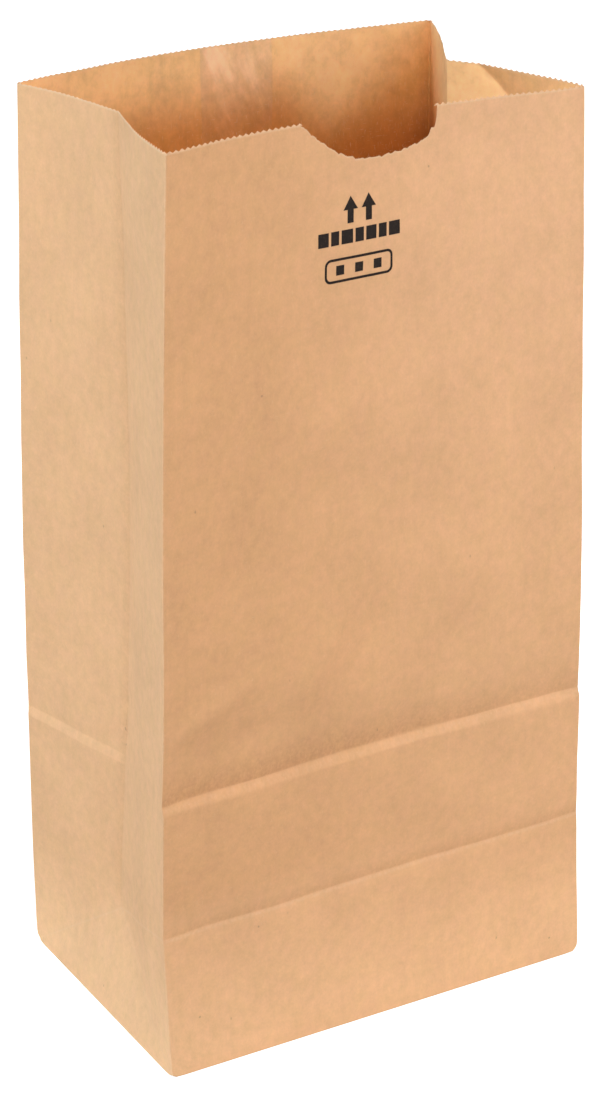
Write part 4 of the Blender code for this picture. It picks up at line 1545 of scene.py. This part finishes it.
@dataclass
class RepeatOnCurve:
    """A Geometry Nodes tree that repeats a small shape at even steps along a curve, as a plain mesh."""

    name: str
    inputs: dict[str, float]
    tree: NodeTree = field(init=False)
    graph: Graph = field(init=False)

    def __post_init__(self) -> None:
        """Starts the tree with the named inputs."""
        self.tree = bpy.data.node_groups.new(self.name, "GeometryNodeTree")
        face = self.tree.interface
        for way in ("INPUT", "OUTPUT"):
            face.new_socket("Geometry", in_out=way, socket_type="NodeSocketGeometry")
        for name, value in self.inputs.items():
            kind = "NodeSocketInt" if isinstance(value, int) else "NodeSocketFloat"
            face.new_socket(name, in_out="INPUT", socket_type=kind)
        self.graph = Graph(self.tree)
        self.group = self.tree.nodes.new("NodeGroupInput")

    def value(self, name: str) -> Signal:
        """One of the tree's inputs."""
        return Signal(self.graph, self.group.outputs[name])

    def spaced(self, step: str) -> Signal:
        """The curve, with points this input apart."""
        return self.graph.add("GeometryNodeResampleCurve", {"mode": "LENGTH"},
                              {"Curve": self.value("Geometry"), "Length": self.value(step)})

    def build(self, shape: Signal, curve: Object, finish: Material) -> Object:
        """Ends the tree, runs it on the curve and keeps its result as a plain mesh.

        Args:
            shape: The instances.
            curve: The object that the tree runs on, which is removed.
            finish: The material of the result.

        Returns:
            The new object.
        """
        real = self.graph.add("GeometryNodeRealizeInstances", {}, {"Geometry": shape})
        shown = self.graph.add("GeometryNodeSetMaterial", {}, {"Geometry": real, "Material": finish})
        self.graph.add("NodeGroupOutput", {}, {"Geometry": shown})
        modifier = curve.modifiers.new(self.name, "NODES")
        modifier.node_group = self.tree
        for item in self.tree.interface.items_tree:
            if item.in_out == "INPUT" and item.name in self.inputs:
                modifier[item.identifier] = self.inputs[item.name]
        depsgraph = bpy.context.evaluated_depsgraph_get()
        mesh = bpy.data.meshes.new_from_object(curve.evaluated_get(depsgraph), depsgraph=depsgraph)
        mesh.name = self.name
        if not mesh.materials:
            mesh.materials.append(finish)
        bpy.data.objects.remove(curve)
        LOG.info("%s: %d points, %d faces", self.name, len(mesh.vertices), len(mesh.polygons))
        return add_object(self.name, mesh)


def path_curve(name: str, places: Array) -> Object:
    """A curve object of one open polyline through these places."""
    curve = bpy.data.curves.new(name, "CURVE")
    curve.dimensions = "3D"
    spline = curve.splines.new("POLY")
    spline.points.add(len(places) - 1)
    spline.points.foreach_set("co", np.column_stack([places, np.ones(len(places))]).reshape(-1))
    return add_object(name, curve)


@dataclass
class CutRim:
    """What the knife left along the rim: small even teeth, and loose fibres on the cut of the notch."""

    sheet: BagSheet
    tooth_sink: float = 0.12 * MM
    tooth_thickness: float = 0.92
    worn_back: float = 0.5
    worn_reach: Pair = (-0.5, 0.1)
    fibre_length: float = 0.75 * MM
    fibre_thickness: float = 0.055 * MM
    fibre_spacing: float = 0.22 * MM
    fibre_points: int = 239
    fibre_shift: tuple[Triple, Triple] = (
        (-0.08 * MM, -0.08 * MM, -0.1 * MM), (0.08 * MM, 0.08 * MM, 0.05 * MM))
    fibre_lean: tuple[Triple, Triple] = ((-1.2, -1.2, 0.0), (1.2, 1.2, 6.28))
    fibre_growth: Pair = (0.35, 1.0)
    seed: int = 11

    def middle_line(self, around: Array) -> Array:
        """Places along the cut, in the middle of the paper's thickness."""
        form = self.sheet.form
        outer, inner = self.sheet.skins(np.mod(around, form.perimeter), form.rim(around))
        return (outer + inner) / 2

    def teeth(self, finish: Material) -> Object:
        """The teeth, from the notch's right end round the bag to its left end.

        Args:
            finish: The material of the cut.

        Returns:
            The teeth as one object.
        """
        form = self.sheet.form
        right = form.notch_left + form.notch_width
        length = form.perimeter - form.notch_width
        around = np.linspace(right, right + length, 2 * round(length / form.tooth_pitch) + 1)
        curve = path_curve("rim_path", self.middle_line(around))
        repeat = RepeatOnCurve("rim_teeth", {
            "Pitch": form.tooth_pitch, "Depth": form.tooth_depth, "Sink": self.tooth_sink,
            "Worn": self.worn_back, "Thickness": self.tooth_thickness * form.paper})
        graph, sink = repeat.graph, repeat.value("Sink")
        prism = graph.add("GeometryNodeMeshCylinder", {"fill_type": "NGON"},
                          {"Vertices": 3, "Radius": 1.0, "Depth": 1.0})
        # A prism on a triangle of radius 1 is 1.5 high and the root of 3 wide.
        tall = (repeat.value("Depth") + sink) * (1 / 1.5)
        wide = repeat.value("Pitch") * (1 / math.sqrt(3))
        upright = graph.add("GeometryNodeTransform", {}, {
            "Geometry": prism, "Rotation": (0.0, -math.pi / 2, math.pi / 2)})
        sized = graph.add("GeometryNodeTransform", {}, {
            "Geometry": upright,
            "Scale": graph.add("ShaderNodeCombineXYZ", {}, {0: wide, 1: repeat.value("Thickness"), 2: tall}),
            "Translation": graph.add("ShaderNodeCombineXYZ", {}, {2: tall * 0.5 - sink})})
        turned = graph.add("FunctionNodeAlignRotationToVector", {"axis": "X", "pivot_axis": "Z"},
                           {"Vector": graph.add("GeometryNodeInputTangent")})
        back = graph.add("ShaderNodeSeparateXYZ", {}, {"Vector": graph.add("GeometryNodeInputPosition")}, "Y")
        unworn = 1 - repeat.value("Worn") * back.ramp(*(share * form.depth for share in self.worn_reach))
        scale = graph.add("ShaderNodeCombineXYZ", {}, {0: 1.0, 1: 1.0, 2: unworn})
        placed = graph.add("GeometryNodeInstanceOnPoints", {}, {
            "Points": repeat.spaced("Pitch"), "Instance": sized, "Rotation": turned, "Scale": scale})
        return repeat.build(placed, curve, finish)

    def fibres(self, finish: Material) -> Object:
        """Loose fibres that stand out of the cut of the notch.

        Args:
            finish: The material of the cut.

        Returns:
            The fibres as one object.
        """
        curve = path_curve("cut_path", self.middle_line(self.sheet.form.across_notch(self.fibre_points)))
        repeat = RepeatOnCurve("cut_fibres", {
            "Spacing": self.fibre_spacing, "Length": self.fibre_length, "Thickness": self.fibre_thickness,
            "Seed": self.seed})
        graph, seed = repeat.graph, repeat.value("Seed")

        def chance(low: Triple | float, high: Triple | float, shift: int) -> Signal:
            """A random number or vector for each point, drawn with its own seed."""
            kind, output = ("FLOAT_VECTOR", 0) if isinstance(low, tuple) else ("FLOAT", 1)
            values = {"Min": low, "Max": high, "Seed": seed + shift if shift else seed}
            return graph.add("FunctionNodeRandomValue", {"data_type": kind}, values, output)

        moved = graph.add("GeometryNodeSetPosition", {}, {
            "Geometry": repeat.spaced("Spacing"), "Offset": chance(*self.fibre_shift, 0)})
        cone = graph.add("GeometryNodeMeshCone", {}, {
            "Vertices": 3, "Radius Top": 0.0, "Radius Bottom": repeat.value("Thickness") * 0.5,
            "Depth": repeat.value("Length")})
        turned = graph.add("FunctionNodeEulerToRotation", {}, {"Euler": chance(*self.fibre_lean, 1)})
        placed = graph.add("GeometryNodeInstanceOnPoints", {}, {
            "Points": moved, "Instance": cone, "Rotation": turned, "Scale": chance(*self.fibre_growth, 2)})
        return repeat.build(placed, curve, finish)


@dataclass(frozen=True)
class InkShape:
    """One printed shape: its outline on the front panel, in millimetres, and a hole in it."""

    outline: Outline
    hole: Outline = ()


def block(x: float, z: float, width: float, height: float) -> Outline:
    """A rectangle's corners, from its lower left."""
    return (x, z), (x + width, z), (x + width, z + height), (x, z + height)


def capsule(x: float, z: float, width: float, height: float, radius: float) -> Outline:
    """A rounded rectangle's outline, from its lower right corner."""
    left, right, low, high = x + radius, x + width - radius, z + radius, z + height - radius
    corners = ((right, low, -90), (right, high, 0), (left, high, 90), (left, low, 180))
    turns = [(cx, cz, math.radians(start + step)) for cx, cz, start in corners for step in range(0, 91, 15)]
    return tuple((cx + radius * math.cos(turn), cz + radius * math.sin(turn)) for cx, cz, turn in turns)


def arrow(x: float, z: float, width: float, height: float, shaft_share: float, head_share: float) -> Outline:
    """The outline of an arrow that points up, from the lower left of its shaft."""
    shaft, head = shaft_share * width, head_share * height
    middle, neck = x + width / 2, z + height - head
    left, right = middle - shaft / 2, middle + shaft / 2
    head_places = (right, neck), (x + width, neck), (middle, z + height), (x, neck), (left, neck)
    return (left, z), (right, z), *head_places


def inside(loop: Outline, x: float, z: float) -> bool:
    """Whether a place lies inside a closed outline."""
    found = False
    for (x0, z0), (x1, z1) in zip(loop, (*loop[1:], loop[0])):
        if (z0 > z) != (z1 > z) and x < mix(x0, x1, (z - z0) / (z1 - z0)):
            found = not found
    return found


@dataclass
class FrontPrint:
    """A plain handling mark printed on the front: arrows, a row of blocks and a framed row of squares.

    Sizes without a unit are in millimetres, and heights are above the base.
    """

    sheet: BagSheet
    middle: float = -8.6
    arrow_size: Pair = (6.2, 9.4)
    arrow_foot: float = 313.2
    arrow_step: float = 3.9
    arrow_shares: Pair = (0.42, 0.5)
    block_widths: tuple[float, ...] = (4.4, 3.4, 4.8, 3.6, 4.4, 3.4, 4.8)
    block_height: float = 4.9
    block_foot: float = 306.2
    block_gap: float = 1.05
    frame_size: Pair = (29.0, 8.6)
    frame_foot: float = 292.9
    frame_line: float = 0.9
    frame_radii: Pair = (2.4, 1.6)
    square: float = 3.4
    square_foot: float = 295.5
    square_step: float = 8.0
    ink_lift: float = 0.05 * MM
    ink_sink: float = 0.03 * MM
    fineness: float = 0.9

    def framed(self, inset: float, radius: float) -> Outline:
        """The frame's outline, this far inside its outer edge."""
        width, height = (size - 2 * inset for size in self.frame_size)
        return capsule(self.middle - width / 2, self.frame_foot + inset, width, height, radius)

    def shapes(self) -> list[InkShape]:
        """The outlines of all printed shapes, x from the panel's middle and z from the base."""
        arrow_left = self.middle - self.arrow_size[0] / 2
        shapes = [InkShape(arrow(arrow_left + side * self.arrow_step, self.arrow_foot, *self.arrow_size,
                                 *self.arrow_shares)) for side in (-1, 1)]
        start = self.middle - (sum(self.block_widths) + self.block_gap * (len(self.block_widths) - 1)) / 2
        for width in self.block_widths:
            shapes.append(InkShape(block(start, self.block_foot, width, self.block_height)))
            start += width + self.block_gap
        outer, inner = self.frame_radii
        shapes.append(InkShape(self.framed(0.0, outer), self.framed(self.frame_line, inner)))
        square_left = self.middle - self.square / 2
        return shapes + [InkShape(block(square_left + side * self.square_step, self.square_foot, self.square,
                                        self.square)) for side in (-1, 0, 1)]

    def fill(self, shape: InkShape) -> tuple[list[Pair], list[Triangle]]:
        """Points and anticlockwise triangles of one shape, fine enough to follow the paper."""
        points: list[Vector] = []
        lines: list[tuple[int, int]] = []
        for loop in filter(None, (shape.outline, shape.hole)):
            first = len(points)
            for (x0, z0), (x1, z1) in zip(loop, (*loop[1:], loop[0])):
                count = max(1, round(math.hypot(x1 - x0, z1 - z0) / self.fineness))
                points += [Vector((mix(x0, x1, n / count), mix(z0, z1, n / count))) for n in range(count)]
            numbers = [*range(first, len(points)), first]
            lines += list(zip(numbers, numbers[1:]))
        xs, zs = ([p[axis] for p in points] for axis in (0, 1))
        for x in np.arange(min(xs) + self.fineness, max(xs), self.fineness):
            for z in np.arange(min(zs) + self.fineness, max(zs), self.fineness):
                points.append(Vector((float(x), float(z))))
        verts, _, faces, *_ = delaunay_2d_cdt(points, lines, [], 0, SAME_PRINT)
        places = [(v.x, v.y) for v in verts]
        kept = []
        for face in faces:
            x, z = (sum(part) / 3 for part in zip(*(places[i] for i in face)))
            if inside(shape.outline, x, z) and not (shape.hole and inside(shape.hole, x, z)):
                kept.append(turned_up(face, places))
        used = sorted({i for face in kept for i in face})
        number = {old: new for new, old in enumerate(used)}
        return [places[i] for i in used], [tuple(number[i] for i in face) for face in kept]

    def build(self, finish: Material) -> Object:
        """The print as one object of thin closed shapes.

        Args:
            finish: The material of the ink.

        Returns:
            The new object.
        """
        form = self.sheet.form
        verts: list[Triple] = []
        faces: list[tuple[int, ...]] = []
        for shape in self.shapes():
            places, triangles = self.fill(shape)
            flat = np.array(places) * MM
            around, height = flat[:, 0] + form.width / 2, flat[:, 1]
            _, _, out = form.directions(around, height)
            face, _ = self.sheet.skins(around, height)
            start, count = len(verts), len(places)
            verts += (face + out * self.ink_lift).tolist() + (face - out * self.ink_sink).tolist()
            faces += [tuple(start + i for i in t) for t in triangles]
            faces += [tuple(start + count + i for i in reversed(t)) for t in triangles]
            edges = {edge for t in triangles for edge in zip(t, (*t[1:], t[0]))}
            border = [(a, b) for a, b in edges if (b, a) not in edges]
            faces += [(start + b, start + a, start + count + a, start + count + b) for a, b in sorted(border)]
        mesh = bpy.data.meshes.new("front_print")
        mesh.from_pydata(verts, [], faces)
        mesh.materials.append(finish)
        mesh.update()
        LOG.info("front_print: %d shapes, %d faces", len(self.shapes()), len(faces))
        return add_object("front_print", mesh)


@dataclass(frozen=True)
class Lamp:
    """A square soft box: where it stands round the bag and above the floor, and its light."""

    name: str
    azimuth: float
    elevation: float
    distance: float
    size: float
    power: float
    colour: Colour


@dataclass
class Studio:
    """The floor, the lamps, the white surroundings and the camera."""

    target: Triple = (-2.3 * MM, 1.3 * MM, 170.4 * MM)
    azimuth: float = -30.04
    elevation: float = 23.28
    distance: float = 1084.9 * MM
    lens: float = 95.11
    sensor: float = 36.0
    floor_half: float = 4.0
    floor_colour: Colour = (0.86, 0.86, 0.86)
    floor_roughness: float = 0.9
    floor_glow: Pair = (0.66, 1.0)
    floor_glow_reach: Pair = (0.14, 0.42)
    ambient: float = 0.04
    white: Colour = (1.0, 1.0, 1.0)
    lamps: tuple[Lamp, ...] = (
        Lamp("left_box", -112, 16, 2.2, 1.2, 18, (0.82, 1.05, 1.21)),
        Lamp("left_high_box", -78, 28, 1.5, 0.8, 3.6, (0.80, 0.98, 1.11)),
        Lamp("key_box", -37, 48, 2.2, 1.2, 19.8, (0.98, 0.99, 1.0)),
        Lamp("front_box", 0, 26, 2.2, 1.2, 6, (1.0, 0.98, 0.96)),
        Lamp("top_box", -10, 68, 2.2, 1.2, 8, (1.0, 0.99, 0.97)),
        Lamp("right_box", 66, 26, 1.3, 0.7, 6.5, (1.0, 0.98, 0.96)),
        Lamp("back_box", 122, 26, 1.3, 0.7, 7, (1.0, 0.99, 0.98)),
    )

    def around_target(self, azimuth: float, elevation: float, distance: float) -> Vector:
        """A place seen from the target at these angles."""
        turn, rise = math.radians(azimuth), math.radians(elevation)
        away = Vector((math.sin(turn) * math.cos(rise), -math.cos(turn) * math.cos(rise), math.sin(rise)))
        return Vector(self.target) + away * distance

    def aim(self, obj: Object, place: Vector) -> None:
        """Puts a lamp or the camera at a place, facing the target."""
        obj.location = place
        obj.rotation_euler = (Vector(self.target) - place).to_track_quat("-Z", "Y").to_euler()

    def build_camera(self) -> None:
        """The camera at the photograph's viewing angle."""
        camera = bpy.data.cameras.new("camera")
        camera.lens = self.lens
        camera.sensor_width = self.sensor
        camera.sensor_fit = "AUTO"
        obj = add_object("camera", camera)
        self.aim(obj, self.around_target(self.azimuth, self.elevation, self.distance))
        bpy.context.scene.camera = obj

    def build_lamps(self) -> None:
        """The soft boxes."""
        for lamp in self.lamps:
            light = bpy.data.lights.new(lamp.name, "AREA")
            light.shape = "SQUARE"
            light.size = lamp.size
            light.energy = lamp.power
            light.color = lamp.colour
            place = self.around_target(lamp.azimuth, lamp.elevation, lamp.distance)
            self.aim(add_object(lamp.name, light), place)

    def build_world(self) -> None:
        """White surroundings for the camera and in reflections, and softer ones that light the bag."""
        world = bpy.data.worlds.new("studio")
        bpy.context.scene.world = world
        world.use_nodes = True
        graph = Graph(world.node_tree)
        strength = mix(self.ambient, 1.0, self.seen_directly(graph))
        shader = graph.add("ShaderNodeBackground", {}, {"Color": self.white, "Strength": strength})
        graph.add("ShaderNodeOutputWorld", {}, {"Surface": shader})

    def seen_directly(self, graph: Graph) -> Signal:
        """1 for rays from the camera, and from gloss and glass, and 0 for all others."""
        camera = graph.add("ShaderNodeLightPath", {}, {}, "Is Camera Ray")
        return (camera + camera.other("Is Glossy Ray") + camera.other("Is Transmission Ray")).least(1.0)

    def build_floor(self) -> Object:
        """A pale floor, which looks white but keeps the bag's shadow."""
        half = self.floor_half
        mesh = bpy.data.meshes.new("floor")
        corners = [(x * half, y * half, 0) for x, y in ((-1, -1), (1, -1), (1, 1), (-1, 1))]
        mesh.from_pydata(corners, [], [(0, 1, 2, 3)])
        material, graph = new_material("floor_white")
        place = graph.add("ShaderNodeTexCoord", {}, {}, "Object")
        away = graph.add("ShaderNodeVectorMath", {"operation": "LENGTH"}, {0: place}, "Value")
        glow = self.seen_directly(graph) * mix(*self.floor_glow, away.ramp(*self.floor_glow_reach))
        graph.surface({
            "Base Color": self.floor_colour, "Roughness": self.floor_roughness, "Specular IOR Level": 0.0,
            "Emission Color": self.white, "Emission Strength": glow})
        mesh.materials.append(material)
        return add_object("floor", mesh)

    def build(self) -> None:
        """Everything that isn't part of the bag."""
        self.build_camera()
        self.build_lamps()
        self.build_world()
        self.build_floor()
        bpy.context.scene.view_settings.view_transform = "Standard"


def main() -> None:
    """Builds the bag round the frame, and the studio round the bag."""
    logging.basicConfig(level=logging.INFO, format="%(name)s %(message)s")
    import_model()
    form = BagForm()
    Studio().build()
    sheet = BagSheet(form, Relief(form))
    bag = sheet.build()
    rim = CutRim(sheet)
    cut = cut_finish("kraft_rim").material()
    teeth, fibres = rim.teeth(cut), rim.fibres(cut)
    mark = FrontPrint(sheet).build(ink_finish().material())
    for piece in (bag, teeth, fibres, mark):
        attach(piece, "root")
    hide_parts(NODE)


if __name__ == "__main__":
    main()
